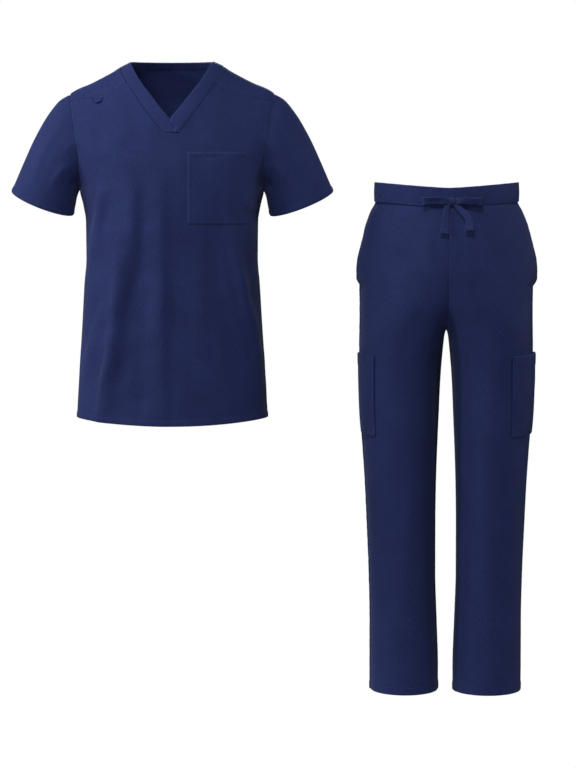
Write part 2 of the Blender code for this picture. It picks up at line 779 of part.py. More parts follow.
def leg_base(turn, level):
    drop = leg_drop(turn, level)
    side = FRONT if turn >= 0 else BACK
    angle = leg_angle(turn, drop)
    x = leg_outer(drop) - leg_reach(drop) * (1 - math.cos(angle))
    return Vector((x, side * leg_depth[side](drop) * math.sin(abs(angle)), -drop))


def leg_lift(turn, side, point):
    """The folds, and the stand-off of the front panel along the side pocket's mouth."""
    drop = -point.z
    lift = relief(LEG_FOLDS[side], point.x, drop) * math.sqrt(math.sin(abs(turn) * math.pi))
    if side == FRONT:
        fade = max(0.0, 1 - leg_angle(turn, drop) / MOUTH_FADE) ** 2
        ends = max(0.0, min(1.0, (MOUTH_FOOT - drop) / MOUTH_CLOSING))
        lift += mouth_reach(drop) * fade * ends
    return lift


def leg_spot(turn, level, wearer_side, side, lift=None):
    """(point, outward normal) on a leg. A given lift takes the place of the folds."""
    point = leg_base(turn, level)
    centre = Vector((leg_outer(-point.z) - leg_reach(-point.z), 0, point.z))
    normal = surface_normal(leg_base, turn, level, (-1.0, 1.0), centre)
    point += normal * (leg_lift(turn, side, point) if lift is None else lift)
    if wearer_side == RIGHT:
        return mirrored(point), mirrored(normal)
    return point, normal


LEVELS = [i / HIP_ROWS for i in range(HIP_ROWS + 1)] + spread(1.0, 2.0, LEG_ROWS)


def leg_grid(side, wearer_side):
    """The spots of half a leg, from the side seam to its inner seam."""
    return [
        [leg_spot(-side * j / LEG_COLUMNS, level, wearer_side, side) for j in range(LEG_COLUMNS + 1)]
        for level in LEVELS
    ]


def on_leg(halves, angle, drop, lift):
    """A spot on the leg panels' own facets below the crotch, this far round from the side seam."""
    side = FRONT if angle >= 0 else BACK
    turn = abs(angle) / math.pi
    level = 1 + (drop - CROTCH) / (leg_drop(turn, 2.0) - CROTCH)
    return on_facets(halves[side], between(LEVELS, level), turn * LEG_COLUMNS, lift)


def pocket_facing(name, wearer_side, parent):
    """The strip behind a side pocket's mouth, made from the leg panels' own points, moved in."""
    grid = [
        [
            leg_spot(j / LEG_COLUMNS, LEVELS[i], wearer_side, FRONT, -(WALL + LAY_GAP))
            for j in FACING_COLUMNS
        ]
        for i in FACING_ROWS
    ]
    cloth(name, [grid], parent)


def waistband(name, side, parent):
    """Half of the waistband, from side seam to side seam."""
    rows = []
    for k in range(BAND_ROWS + 1):
        down = k / BAND_ROWS
        width, depth = (lerp(top, foot, down) for top, foot in zip(BAND_TOP, BAND_FOOT))
        row = []
        for j in range(BAND_COLUMNS + 1):
            angle = math.pi * j / BAND_COLUMNS
            drop = band_dip(angle) + down * BAND_HEIGHT
            row.append(Vector((-width * math.cos(angle), side * depth * math.sin(angle), -drop)))
        rows.append(row)
    grid = grid_normals(rows, False, lambda i: Vector((0, 0, rows[i][0].z)))
    for row in grid:
        row[0] = (row[0][0], Vector((-1, 0, 0)))
        row[-1] = (row[-1][0], Vector((1, 0, 0)))
    cloth(name, [grid], parent, wall=BAND_WALL)


def cargo_pocket(name, halves, wearer_side, parent):
    """A patch pocket round the side of the thigh, slightly full, its mouth standing off a little."""
    angles = CARGO_ANGLES[wearer_side]
    rows = []
    for i in range(CARGO_ROWS + 1):
        down = i / CARGO_ROWS
        row = []
        for j in range(CARGO_COLUMNS + 1):
            across = j / CARGO_COLUMNS
            angle = math.radians(lerp(angles.back, angles.front, across))
            drop = lerp(*CARGO_DROPS, down) + CARGO_SLANT * math.sin(abs(angle))
            full = math.sqrt(math.sin(math.pi * across))
            puff = CARGO_PUFF * math.sqrt(math.sin(math.pi * down)) + CARGO_GAPE * (1 - down) ** 4
            row.append(on_leg(halves, angle, drop, CARGO_LAY + WALL + full * puff))
        rows.append(row)
    cloth(name, [rows], parent)


# --- the drawstring ---


def tape_path(turns, samples):
    """Points on a smooth curve through the turns of a tape."""
    keys = range(len(turns))
    curves = [smooth_curve(list(zip(keys, values))) for values in zip(*turns)]
    points = []
    for i in range(samples + 1):
        x, y, drop = (curve(i * (len(turns) - 1) / samples) for curve in curves)
        points.append(Vector((x, BAND_FACE + y, -drop)))
    return points


def flat_tape(name, turns, samples, across, parent):
    """A flat tape along a path, its width along the given direction."""
    points = tape_path(turns, samples)
    grid = []
    for i, point in enumerate(points):
        run = points[min(i + 1, samples)] - points[max(i - 1, 0)]
        normal = run.cross(across).normalized()
        half = across * TAPE_WIDTH / 2
        grid.append([(point - half, normal), (point + half, normal)])
    cloth(name, [grid], parent, wall=TAPE_THICK, colour=TAPE_NAVY)


def knot(parent):
    bm = bmesh.new()
    bmesh.ops.create_cube(bm, size=1.0)
    bmesh.ops.scale(bm, vec=KNOT_SIZE, verts=bm.verts)
    bmesh.ops.bevel(bm, geom=bm.edges[:], offset=KNOT_BEVEL, segments=2, profile=0.5, affect="EDGES")
    place = Vector((KNOT_X, BAND_FACE - SEAM_GAP - KNOT_SIZE[1] / 2, -BOW_DROP))
    bmesh.ops.translate(bm, vec=place, verts=bm.verts)
    add_mesh("drawstring_knot", bm, parent, TAPE_NAVY)


def main():
    for obj in list(bpy.data.objects):
        bpy.data.objects.remove(obj, do_unlink=True)
    top = garment("top", TOP_AT)
    front = top_front(top)
    front_edge = [row[-1] for row in front.grid[BODY_ROWS:]]
    back_edge, shoulder_edge, neck_edge = top_back(top)
    armhole = front_edge + shoulder_edge[-2:0:-1] + back_edge[:0:-1]
    sleeve("sleeve_left", armhole, LEFT, top)
    sleeve("sleeve_right", armhole, RIGHT, top)
    band_ends = {
        RIGHT: neck_band("neck_band_right", OVERLAP_END, RIGHT, top),
        LEFT: neck_band("neck_band_left", UNDERLAP_END, LEFT, top),
    }
    back_neck_band(neck_edge, band_ends, top)
    chest_pocket(front, top)
    hanging_loop(top)

    trousers = garment("trousers", TROUSERS_AT)
    for word, wearer_side in (("left", LEFT), ("right", RIGHT)):
        halves = {side: leg_grid(side, wearer_side) for side in (FRONT, BACK)}
        cloth(f"leg_front_{word}", [halves[FRONT]], trousers)
        cloth(f"leg_back_{word}", [halves[BACK]], trousers)
        pocket_facing(f"side_pocket_facing_{word}", wearer_side, trousers)
        cargo_pocket(f"cargo_pocket_{word}", halves, wearer_side, trousers)
        flat_tape(f"drawstring_loop_{word}", LOOPS[wearer_side], LOOP_SAMPLES, UP, trousers)
        flat_tape(f"drawstring_tail_{word}", TAILS[wearer_side], TAIL_SAMPLES, ACROSS, trousers)
    waistband("waistband_front", FRONT, trousers)
    waistband("waistband_back", BACK, trousers)
    knot(trousers)


main()
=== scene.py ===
"""Medical scrubs: a V-neck top and drawstring cargo trousers of navy cloth, filled out and hollow.

Metres, +Z up, the front towards -Y. Left and right are the wearer's own, so left is +X.
A "drop" is a distance below the garment's own top. Each sewn piece is a fine sheet on the form of
its solid, with its creases, its sewn edges and its stitches. Most functions here take whole arrays.
"""

import math
from collections import namedtuple

import bmesh
import bpy
import numpy as np
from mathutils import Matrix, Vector


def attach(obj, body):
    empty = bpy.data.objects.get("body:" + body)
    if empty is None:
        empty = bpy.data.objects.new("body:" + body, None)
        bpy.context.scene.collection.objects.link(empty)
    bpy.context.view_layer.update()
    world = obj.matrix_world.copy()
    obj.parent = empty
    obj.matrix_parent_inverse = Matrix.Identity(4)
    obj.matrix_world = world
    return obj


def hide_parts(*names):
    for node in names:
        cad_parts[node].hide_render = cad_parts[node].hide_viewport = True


# Walls of single and doubled cloth, and how far a piece lies off the one that carries it
WALL, BAND_WALL, LAY_GAP = 0.0018, 0.0028, 0.0005
FRONT, BACK = -1, 1
LEFT, RIGHT = 1, -1
QUARTER = math.pi / 2
# The step that normals are worked out over, and how near two points are to be joined
STEP, SAME_PLACE = 0.004, 2e-5

# About how far each sheet goes, which sets how many rows and columns it has
FRONT_ACROSS, BACK_ACROSS, BODY_ABOVE = 0.47, 0.49, 0.24
SHOULDER_DOWN, SHOULDER_ACROSS = 0.060, 0.115
SLEEVE_ALONG, SLEEVE_COLUMNS = 0.175, 131
NECK_BAND_ACROSS, NECK_BAND_UP = 0.026, 0.020
LEG_ACROSS, HIP_DOWN, WAIST_ROUND, CARGO_ACROSS = 0.27, 0.26, 0.41, 0.155

# How far in from its edge each row of stitches is
TOP_HEM_STITCH, CUFF_STITCH, LEG_HEM_STITCH = 0.0100, 0.0085, 0.0150
NECK_STITCH, WAIST_STITCH, BAND_STITCH, PATCH_STITCH = 0.0028, 0.0024, 0.0042, 0.0074
FELLED_ROWS = (0.0016, 0.0080)
SIDES = ("start", "end")

# Where the trousers hang, from the top's own place
TROUSERS_AT = np.array([0.5607, 0.0, -0.246])
TOP_AT = np.zeros(3)

# The top: half its width, and how far its front and back stand from the side seams, by drop.
# Down to the underarm the half width is that of the armhole seam.
Girth = namedtuple("Girth", "drop half_width front back")
TORSO = [
    Girth(0.067, 0.2081, 0.105, 0.100),
    Girth(0.084, 0.2048, 0.108, 0.103),
    Girth(0.150, 0.1940, 0.114, 0.110),
    Girth(0.211, 0.1865, 0.120, 0.115),
    Girth(0.258, 0.1865, 0.124, 0.116),
    Girth(0.291, 0.1795, 0.125, 0.115),
    Girth(0.325, 0.1742, 0.125, 0.112),
    Girth(0.400, 0.1735, 0.121, 0.105),
    Girth(0.451, 0.1773, 0.119, 0.104),
    Girth(0.540, 0.1827, 0.118, 0.109),
    Girth(0.636, 0.1888, 0.119, 0.114),
    Girth(0.740, 0.1945, 0.121, 0.118),
]
ROUNDNESS = 2.2
UNDERARM = 0.258
ARMHOLE_MIDDLE = 0.164
ARMHOLE_DEPTH = {FRONT: 0.066, BACK: 0.078}
ARMHOLE_POWER = 0.7
CHEST_LINE = 0.220
SLOPE_POWER = {FRONT: 1.15, BACK: 1.7}
HEM_DROP, HEM_DIP = 0.724, 0.013

# The shoulder ridge, the seam on the front of the shoulder, and the seam round the back of the neck
Line = namedtuple("Line", "x drop")
RIDGE = [
    Line(0.000, -0.040),
    Line(0.045, -0.026),
    Line(0.084, -0.002),
    Line(0.1005, 0.0082),
    Line(0.119, 0.0205),
    Line(0.1415, 0.0328),
    Line(0.166, 0.0451),
    Line(0.195, 0.0574),
    Line(0.2081, 0.0670),
]
SHOULDER_SEAM = [
    Line(0.0886, 0.0453),
    Line(0.105, 0.0564),
    Line(0.137, 0.0687),
    Line(0.160, 0.0748),
    Line(0.2048, 0.0840),
]
BACK_NECK_DROP = 0.0106

# The neck band from the foot of the V to the shoulder ridge: its sewn edge and its free edge
Station = namedtuple("Station", "sewn_x sewn_drop free_x free_drop")
NECK = [
    Station(0.0164, 0.1455, 0.0000, 0.1213),
    Station(0.0440, 0.1090, 0.0240, 0.0905),
    Station(0.0600, 0.0880, 0.0390, 0.0705),
    Station(0.0770, 0.0625, 0.0560, 0.0485),
    Station(0.0886, 0.0453, 0.0665, 0.0330),
    Station(0.1015, 0.0210, 0.0790, 0.0110),
    Station(0.1045, 0.0106, 0.0845, -0.0017),
]
SEAM_STATION = 4
# The right band laps over the centre with a squared end, and the left band stops at its edge.
OVERLAP_END = [Station(0.0164, 0.1455, -0.0103, 0.1455), Station(0.0250, 0.1343, -0.0103, 0.1345)]
UNDERLAP_END = [
    Station(0.0164, 0.1455, 0.0107, 0.1455),
    Station(0.0250, 0.1343, 0.0107, 0.1353),
    Station(0.0300, 0.1277, 0.0004, 0.1218),
]
# How far the right band's lap and both bands stand out, how full they are, how far their top
# corners fall, and the heights of the back band's free edge: at its ends, and in the middle
LAP_RISE, BAND_RISE, BAND_FULL, CORNER_FALL = 0.0016, 0.0006, 0.0008, 0.0038
NECK_HEIGHT_ENDS, NECK_HEIGHT_BACK = -0.0026, 0.0004
NECK_REACH_BACK = 0.054
NECK_LEVELLING = 2.5

# The sleeve's sections, from the armhole to the cuff: the ends of each in the front view, and how
# far it stands from them to the front and the back
Ring = namedtuple("Ring", "along outer_x outer_drop inner_x inner_drop front back")
SLEEVE = [
    Ring(0.00, 0.2081, 0.0670, 0.1865, 0.2580, 0.066, 0.078),
    Ring(0.18, 0.2270, 0.0780, 0.1905, 0.2655, 0.066, 0.074),
    Ring(0.38, 0.2511, 0.1066, 0.1942, 0.2760, 0.064, 0.069),
    Ring(0.60, 0.2798, 0.1558, 0.1968, 0.2900, 0.060, 0.063),
    Ring(0.80, 0.3024, 0.2050, 0.1992, 0.3015, 0.056, 0.058),
    Ring(1.00, 0.3270, 0.2624, 0.2019, 0.3116, 0.053, 0.054),
]
CUFF_DIP = {FRONT: 0.0115, BACK: 0.004}

# The largest folds of the cloth: where each starts and ends, its half width and its height
Fold = namedtuple("Fold", "x_top drop_top x_foot drop_foot width height")
TOP_FOLDS = {
    FRONT: [
        Fold(-0.099, 0.330, -0.143, 0.735, 0.020, 0.0055),
        Fold(-0.045, 0.400, -0.070, 0.735, 0.020, -0.0040),
        Fold(0.128, 0.380, 0.172, 0.720, 0.018, 0.0050),
        Fold(0.060, 0.420, 0.075, 0.735, 0.024, 0.0035),
    ],
    BACK: [
        Fold(-0.110, 0.300, -0.135, 0.735, 0.020, 0.0050),
        Fold(-0.020, 0.340, -0.035, 0.735, 0.024, -0.0040),
        Fold(0.095, 0.320, 0.130, 0.735, 0.020, 0.0050),
    ],
}

# Chest pocket and hanging loop, in the front view. The cloth pocket is a little narrower.
POCKET_SIDES = (0.0338, 0.1548)
POCKET_NARROWER = (0.0022, -0.0042)
POCKET_DROPS = (0.1866, 0.3300)
POCKET_HEM, PEN_SLOT = 0.0085, 0.0375
POCKET_RISE, POCKET_PUFF, POCKET_GROOVE, HEM_LAYER = 0.0016, 0.0006, 0.0009, 0.0006
LOOP_SIDES = (-0.1600, -0.1390)
LOOP_DROP, LOOP_HANG, LOOP_WIDTH, LOOP_BULGE = 0.0740, 0.0100, 0.0030, 0.0022

# One leg: the side seam, the inner edge, and how far the front and back stand out. Above the
# crotch the inner edge is beyond the middle, where the centre seams cut the leg's round off.
Leg = namedtuple("Leg", "drop outer inner front back")
LEG = [
    Leg(0.000, 0.1445, -0.1445, 0.1045, 0.1065),
    Leg(0.038, 0.1432, -0.1432, 0.1050, 0.1070),
    Leg(0.060, 0.1532, -0.1532, 0.1090, 0.1130),
    Leg(0.094, 0.1650, -0.1650, 0.1145, 0.1225),
    Leg(0.148, 0.1745, -0.1700, 0.1200, 0.1310),
    Leg(0.180, 0.1765, -0.1500, 0.1220, 0.1340),
    Leg(0.217, 0.1755, -0.1030, 0.1210, 0.1340),
    Leg(0.250, 0.1750, -0.0550, 0.1190, 0.1310),
    Leg(0.275, 0.1750, -0.0185, 0.1160, 0.1270),
    Leg(0.290, 0.1752, -0.0036, 0.1140, 0.1240),
    Leg(0.297, 0.1753, 0.0002, 0.1130, 0.1220),
    Leg(0.305, 0.1754, 0.0036, 0.1118, 0.1206),
    Leg(0.328, 0.1758, 0.0070, 0.1080, 0.1160),
    Leg(0.400, 0.1752, 0.0130, 0.1000, 0.1050),
    Leg(0.476, 0.1732, 0.0164, 0.0940, 0.0960),
    Leg(0.549, 0.1681, 0.0195, 0.0880, 0.0900),
    Leg(0.611, 0.1640, 0.0215, 0.0830, 0.0850),
    Leg(0.697, 0.1599, 0.0226, 0.0780, 0.0800),
    Leg(0.795, 0.1558, 0.0226, 0.0745, 0.0755),
    Leg(0.894, 0.1537, 0.0195, 0.0730, 0.0730),
    Leg(0.992, 0.1537, 0.0164, 0.0730, 0.0730),
    Leg(1.060, 0.1527, 0.0164, 0.0735, 0.0735),
]
CROTCH = 0.297
LEG_HEM, LEG_HEM_DIP = 1.040, 0.004
# How the columns close up on the centre seams: their spacing there, as a share of the mean
CLOSING = 0.5
# How far the back panel reaches under the front one at the side seam, as a turn
SIDE_SEAM_LAP = 0.0042
LEG_FOLDS = {
    FRONT: [
        Fold(0.050, 0.250, 0.110, 0.400, 0.016, -0.0012),
        Fold(0.070, 0.500, 0.085, 0.900, 0.018, 0.0030),
    ],
    BACK: [
        Fold(0.045, 0.255, 0.110, 0.420, 0.014, -0.0040),
        Fold(0.100, 0.560, 0.080, 0.680, 0.018, -0.0040),
    ],
}

# The side pocket's mouth, where the front panel stands off the hip behind it
MOUTH = [
    Line(0.0000, 0.050),
    Line(0.0020, 0.105),
    Line(0.0045, 0.135),
    Line(0.0075, 0.158),
    Line(0.0080, 0.180),
]
MOUTH_FOOT, MOUTH_CLOSING = 0.2103, 0.012
MOUTH_FADE = math.radians(42)
# The facing behind it: its turns, its levels, and how far its top is tucked inside the waistband
FACING_TURNS, FACING_LEVELS, FACING_TUCK = (-1 / 12, 4 / 12), (-0.050, 7 / 9), 0.0007

# Waistband
BAND_HEIGHT, BAND_DIP, BAND_DIP_POWER = 0.038, 0.0120, 1.3
BAND_TOP = (0.1445, 0.1050)
BAND_FOOT = (0.1462, 0.1075)
BAND_DRAWN, BAND_CHANNEL = 0.0016, (0.0004, 0.0010)
BAND_FACE = -BAND_FOOT[1]
# The buttonholes that the drawstring comes out of: place on the band and tilt, and their half sizes
EYELETS = [((0.0330, 0.0250), 0.55), ((-0.0160, 0.0300), -0.4)]
EYELET_LONG, EYELET_WIDE = 0.0052, 0.0021

# Cargo pockets: where each edge lies round the thigh from the side seam, positive to the front
Cargo = namedtuple("Cargo", "front back")
CARGO_ANGLES = {RIGHT: Cargo(48.5, -50.0), LEFT: Cargo(64.0, -35.0)}
CARGO_DROPS = (0.3465, 0.5110)
CARGO_SLANT = 0.0050
CARGO_LAY, CARGO_PUFF, CARGO_GAPE = 0.0009, 0.0020, 0.0025
CARGO_HEM, CARGO_GROOVE = 0.0260, 0.0010

# Drawstring: flat tape tied in a bow on the front of the waistband, in the trousers' own place
TAPE_WIDTH, TAPE_THICK = 0.0165, 0.0012
TAPE_CUP, TAPE_HEM, TAPE_HEM_RISE = 0.0010, 0.0085, 0.0006
BOW_DROP, KNOT_X, KNOT_OUT = 0.0380, 0.0050, 0.0056
KNOT_DEEP, KNOT_TALL, KNOT_LONG = 0.0044, 0.0076, 0.0064
# Each turn of the tape, from its eyelet through the knot, round the loop, back to the knot and down
# its tail: its place from the waistband's face, the way its width lies, and how far it is gathered.
Lace = namedtuple("Lace", "x y drop across forward up span")
LACES = {
    RIGHT: [
        Lace(-0.0150, -0.0006, 0.0300, 0.3, 0.0, 1.0, 0.60),
        Lace(-0.0070, -0.0026, 0.0335, 0.2, 0.0, 1.0, 0.55),
        Lace(0.0030, -0.0046, 0.0372, 0.0, 0.0, 1.0, 0.50),
        Lace(-0.0080, -0.0086, 0.0372, 0.0, -0.2, 1.0, 0.72),
        Lace(-0.0200, -0.0100, 0.0366, 0.0, -0.5, 1.0, 1.00),
        Lace(-0.0350, -0.0104, 0.0368, 0.0, -0.6, 1.0, 1.02),
        Lace(-0.0490, -0.0092, 0.0376, 0.0, -0.5, 1.0, 1.02),
        Lace(-0.0532, -0.0058, 0.0380, 0.0, -0.2, 1.0, 1.00),
        Lace(-0.0500, -0.0028, 0.0382, 0.0, 0.0, 1.0, 1.00),
        Lace(-0.0350, -0.0022, 0.0380, 0.0, 0.0, 1.0, 1.00),
        Lace(-0.0160, -0.0022, 0.0378, 0.0, 0.0, 1.0, 0.85),
        Lace(0.0000, -0.0042, 0.0395, 0.5, 0.0, 1.0, 0.50),
        Lace(-0.0040, -0.0062, 0.0490, 1.0, 0.2, 0.2, 0.62),
        Lace(-0.0062, -0.0086, 0.0600, 1.0, 0.3, 0.0, 0.74),
        Lace(-0.0072, -0.0112, 0.0740, 1.0, 0.3, 0.0, 0.78),
        Lace(-0.0082, -0.0142, 0.0885, 1.0, 0.2, -0.10, 0.90),
        Lace(-0.0108, -0.0168, 0.1030, 1.0, 0.0, -0.20, 1.12),
    ],
    LEFT: [
        Lace(0.0318, -0.0006, 0.0262, 0.4, 0.0, 1.0, 0.60),
        Lace(0.0200, -0.0026, 0.0330, 0.3, 0.0, 1.0, 0.55),
        Lace(0.0080, -0.0046, 0.0378, 0.0, 0.0, 1.0, 0.50),
        Lace(0.0190, -0.0086, 0.0374, 0.0, -0.2, 1.0, 0.72),
        Lace(0.0300, -0.0100, 0.0372, 0.0, -0.5, 1.0, 0.94),
        Lace(0.0450, -0.0104, 0.0378, 0.0, -0.6, 1.0, 0.98),
        Lace(0.0590, -0.0092, 0.0386, 0.0, -0.5, 1.0, 0.98),
        Lace(0.0640, -0.0058, 0.0388, 0.0, -0.2, 1.0, 0.96),
        Lace(0.0600, -0.0028, 0.0386, 0.0, 0.0, 1.0, 0.95),
        Lace(0.0440, -0.0022, 0.0382, 0.0, 0.0, 1.0, 0.95),
        Lace(0.0250, -0.0022, 0.0378, 0.0, 0.0, 1.0, 0.85),
        Lace(0.0100, -0.0042, 0.0400, -0.5, 0.0, 1.0, 0.50),
        Lace(0.0165, -0.0062, 0.0490, 1.0, 0.2, 0.6, 0.62),
        Lace(0.0260, -0.0084, 0.0580, 1.0, 0.2, 0.6, 0.80),
        Lace(0.0368, -0.0108, 0.0700, 1.0, 0.2, 0.2, 0.92),
        Lace(0.0404, -0.0138, 0.0835, 1.0, 0.1, 0.0, 0.98),
        Lace(0.0404, -0.0166, 0.0975, 1.0, 0.0, 0.0, 1.04),
    ],
}
LACE_SAMPLES = 150

# Colours in linear light, and the spacing of the yarns, ribs and cords
CLOTH_DEEP, CLOTH_LIGHT = (0.0045, 0.0078, 0.0385, 1.0), (0.0096, 0.0154, 0.0640, 1.0)
CLOTH_WORN = (0.0170, 0.0260, 0.0960, 1.0)
TAPE_DEEP, TAPE_LIGHT = (0.0052, 0.0088, 0.0420, 1.0), (0.0130, 0.0200, 0.0790, 1.0)
THREAD_DEEP, THREAD_LIGHT = (0.0070, 0.0115, 0.0560, 1.0), (0.0150, 0.0230, 0.0950, 1.0)
YARN_PITCH, RIB_PITCH, CORD_PITCH = 0.00085, 0.0016, 0.0022
CLOTH_BUMP, TAPE_BUMP, THREAD_BUMP = 0.00016, 0.0003, 0.0002
SHEEN = {
    "Metallic": 0.0,
    "Sheen_Weight": 0.05,
    "Sheen_Roughness": 0.45,
    "Sheen_Tint": (0.55, 0.66, 1.0, 1.0),
}


# --- finishes ---


class Value:
    """A node's output, which is used in sums as a number is."""

    def __init__(self, finish, socket):
        self.finish = finish
        self.socket = socket

    def math(self, operation, first, second=0.0):
        return self.finish.node("ShaderNodeMath", {"operation": operation}, {0: first, 1: second})

    def __add__(self, other):
        return self.math("ADD", self, other)

    def __sub__(self, other):
        return self.math("SUBTRACT", self, other)

    def __rsub__(self, other):
        return self.math("SUBTRACT", other, self)

    def __mul__(self, other):
        return self.math("MULTIPLY", self, other)

    __radd__ = __add__
    __rmul__ = __mul__

    def sine(self):
        return self.math("SINE", self)


class Finish:
    """A material whose nodes are made by one method."""

    def __init__(self, name, **constants):
        self.material = bpy.data.materials.new(name)
        self.material.use_nodes = True
        self.tree = self.material.node_tree
        self.shader = self.tree.nodes["Principled BSDF"]
        for socket, value in constants.items():
            self.shader.inputs[socket.replace("_", " ")].default_value = value

    def node(self, kind, settings, sockets, output=0):
        node = self.tree.nodes.new(kind)
        for name, value in settings.items():
            setattr(node, name, value)
        for key, value in sockets.items():
            if isinstance(value, Value):
                self.tree.links.new(value.socket, node.inputs[key])
            else:
                node.inputs[key].default_value = value
        return Value(self, node.outputs[output])

    def attribute(self, name, output="Vector"):
        return self.node("ShaderNodeAttribute", {"attribute_name": name}, {}, output)

    def stretched(self, vector, scale):
        return self.node("ShaderNodeMapping", {}, {"Vector": vector, "Scale": scale})

    def noise(self, vector, detail=2.0, roughness=0.5):
        sockets = {"Vector": vector, "Scale": 1.0, "Detail": detail, "Roughness": roughness}
        return self.node("ShaderNodeTexNoise", {}, sockets)

    def axes(self, vector):
        return [self.node("ShaderNodeSeparateXYZ", {}, {"Vector": vector}, axis) for axis in "XYZ"]

    def between(self, share, low, high):
        sockets = {0: share, 6: low, 7: high}
        return self.node("ShaderNodeMix", {"data_type": "RGBA", "clamp_factor": True}, sockets, 2)

    def bump(self, height, distance):
        sockets = {"Height": height, "Distance": distance, "Strength": 1.0}
        return self.node("ShaderNodeBump", {}, sockets)

    def feed(self, socket, value):
        self.tree.links.new(value.socket, self.shader.inputs[socket])


def cloth_finish():
    """A plain weave of fine yarns on the piece's own lie, uneven, and paler where it is worn."""
    finish = Finish("navy_scrub_cloth", Roughness=0.82, Specular_IOR_Level=0.10, **SHEEN)
    lay = finish.attribute("lay")
    rubbed = finish.attribute("worn", "Fac")
    across, along, _ = finish.axes(lay)
    turn = 2 * math.pi / YARN_PITCH
    weave = (across * turn).sine() * (along * turn).sine()
    slub = finish.noise(finish.stretched(lay, (620.0, 110.0, 1.0)), 2.0)
    fleck = finish.noise(finish.stretched(lay, (290.0, 420.0, 1.0)), 3.0, 0.65)
    cloudy = finish.noise(finish.stretched(lay, (14.0, 10.0, 1.0)), 3.0)
    share = (slub - 0.5) * 1.4 + (fleck - 0.5) * 2.3 + (cloudy - 0.5) * 0.9 + 0.5
    colour = finish.between(share, CLOTH_DEEP, CLOTH_LIGHT)
    finish.feed("Base Color", finish.between(rubbed, colour, CLOTH_WORN))
    finish.feed("Roughness", 0.76 + fleck * 0.12)
    height = weave * 0.10 + slub * 0.35 + fleck * 0.30
    soft = finish.noise(finish.stretched(lay, (70.0, 60.0, 1.0)), 3.0)
    finish.feed("Normal", finish.bump(height + soft * 2.0, CLOTH_BUMP))
    return finish.material


def thread_finish():
    finish = Finish(
        "navy_thread", Roughness=0.60, Metallic=0.0, Sheen_Weight=0.05, Specular_IOR_Level=0.15
    )
    place = finish.node("ShaderNodeTexCoord", {}, {}, "Object")
    ply = finish.noise(finish.stretched(place, (1400.0, 1400.0, 1400.0)), 1.0)
    finish.feed("Base Color", finish.between(ply, THREAD_DEEP, THREAD_LIGHT))
    finish.feed("Normal", finish.bump(ply, THREAD_BUMP))
    return finish.material


def tape_finish():
    """A flat woven tape with ribs across it."""
    finish = Finish("navy_woven_tape", Roughness=0.80, Specular_IOR_Level=0.12, **SHEEN)
    lay = finish.attribute("lay")
    across, along, _ = finish.axes(lay)
    ribs = (along * (2 * math.pi / RIB_PITCH)).sine() * 0.5 + 0.5
    cords = (across * (2 * math.pi / CORD_PITCH)).sine() * 0.5 + 0.5
    fleck = finish.noise(finish.stretched(lay, (300.0, 300.0, 1.0)), 3.0)
    finish.feed("Base Color", finish.between(fleck * 0.7 + ribs * 0.3, TAPE_DEEP, TAPE_LIGHT))
    finish.feed("Normal", finish.bump(ribs * 0.4 + cords * 0.4 + fleck * 0.5, TAPE_BUMP))
    return finish.material


# --- the forms ---


def lerp(a, b, t):
    return a + (b - a) * t


def point(x, y, z):
    return np.stack(np.broadcast_arrays(x, y, z), axis=-1).astype(float)


def unit(vectors):
    return vectors / np.maximum(np.linalg.norm(vectors, axis=-1, keepdims=True), 1e-12)


def dot(a, b):
    return (a * b).sum(axis=-1)


def bell(distance, reach):
    return np.exp(-((distance / reach) ** 2))


def smooth_curve(points):
    """A function that runs smoothly through (x, y) points, never past them, and level outside."""
    xs, ys = (np.array(values, float) for values in zip(*points))
    rises = np.diff(ys) / np.diff(xs)
    first, second = rises[:-1], rises[1:]
    mean = 2 * first * second / np.where(first * second > 0, first + second, 1.0)
    slopes = np.concatenate([rises[:1], np.where(first * second > 0, mean, 0.0), rises[-1:]])

    def value(x):
        x = np.clip(x, xs[0], xs[-1])
        i = np.clip(np.searchsorted(xs, x, side="right") - 1, 0, len(xs) - 2)
        width = xs[i + 1] - xs[i]
        t = (x - xs[i]) / width
        ends = ys[i] * (1 + 2 * t) * (1 - t) ** 2 + ys[i + 1] * t * t * (3 - 2 * t)
        return ends + width * t * (1 - t) * (slopes[i] * (1 - t) - slopes[i + 1] * t)

    return value


def through(rows, marks):
    """The columns of a table at marks that count its rows, smoothly from row to row."""
    return [smooth_curve(list(enumerate(values)))(marks) for values in zip(*rows)]


def column(rows, name, key="drop"):
    """One column of a table as a smooth function of another."""
    return smooth_curve([(getattr(row, key), getattr(row, name)) for row in rows])


half_width = column(TORSO, "half_width")
torso_depth = {FRONT: column(TORSO, "front"), BACK: column(TORSO, "back")}
ridge_drop = column(RIDGE, "drop", "x")
shoulder_seam_drop = column(SHOULDER_SEAM, "drop", "x")
neck_seam_drop = column(NECK[: SEAM_STATION + 1], "sewn_drop", "sewn_x")
leg_outer = column(LEG, "outer")
leg_inner = column(LEG, "inner")
leg_depth = {FRONT: column(LEG, "front"), BACK: column(LEG, "back")}
mouth_reach = column(MOUTH, "x", "drop")
sleeve_curves = [column(SLEEVE, name, "along") for name in Ring._fields[1:]]


def fold_lift(folds, x, drop):
    """How far the large folds lift the cloth at a place in the front view."""
    lift = np.zeros(np.shape(x))
    for fold in folds:
        t = np.clip((drop - fold.drop_top) / (fold.drop_foot - fold.drop_top), 0.0, 1.0)
        aside = x - lerp(fold.x_top, fold.x_foot, t)
        lift += fold.height * np.sin(np.pi * t**0.8) * bell(aside, fold.width)
    return lift


def normals_on(surface, u, v, u_range):
    """The unit normals of a surface, from short steps that stay inside the range of u."""
    low, high = np.maximum(u - STEP, u_range[0]), np.minimum(u + STEP, u_range[1])
    across, along = surface(high, v) - surface(low, v), surface(u, v + STEP) - surface(u, v - STEP)
    return unit(np.cross(across, along))


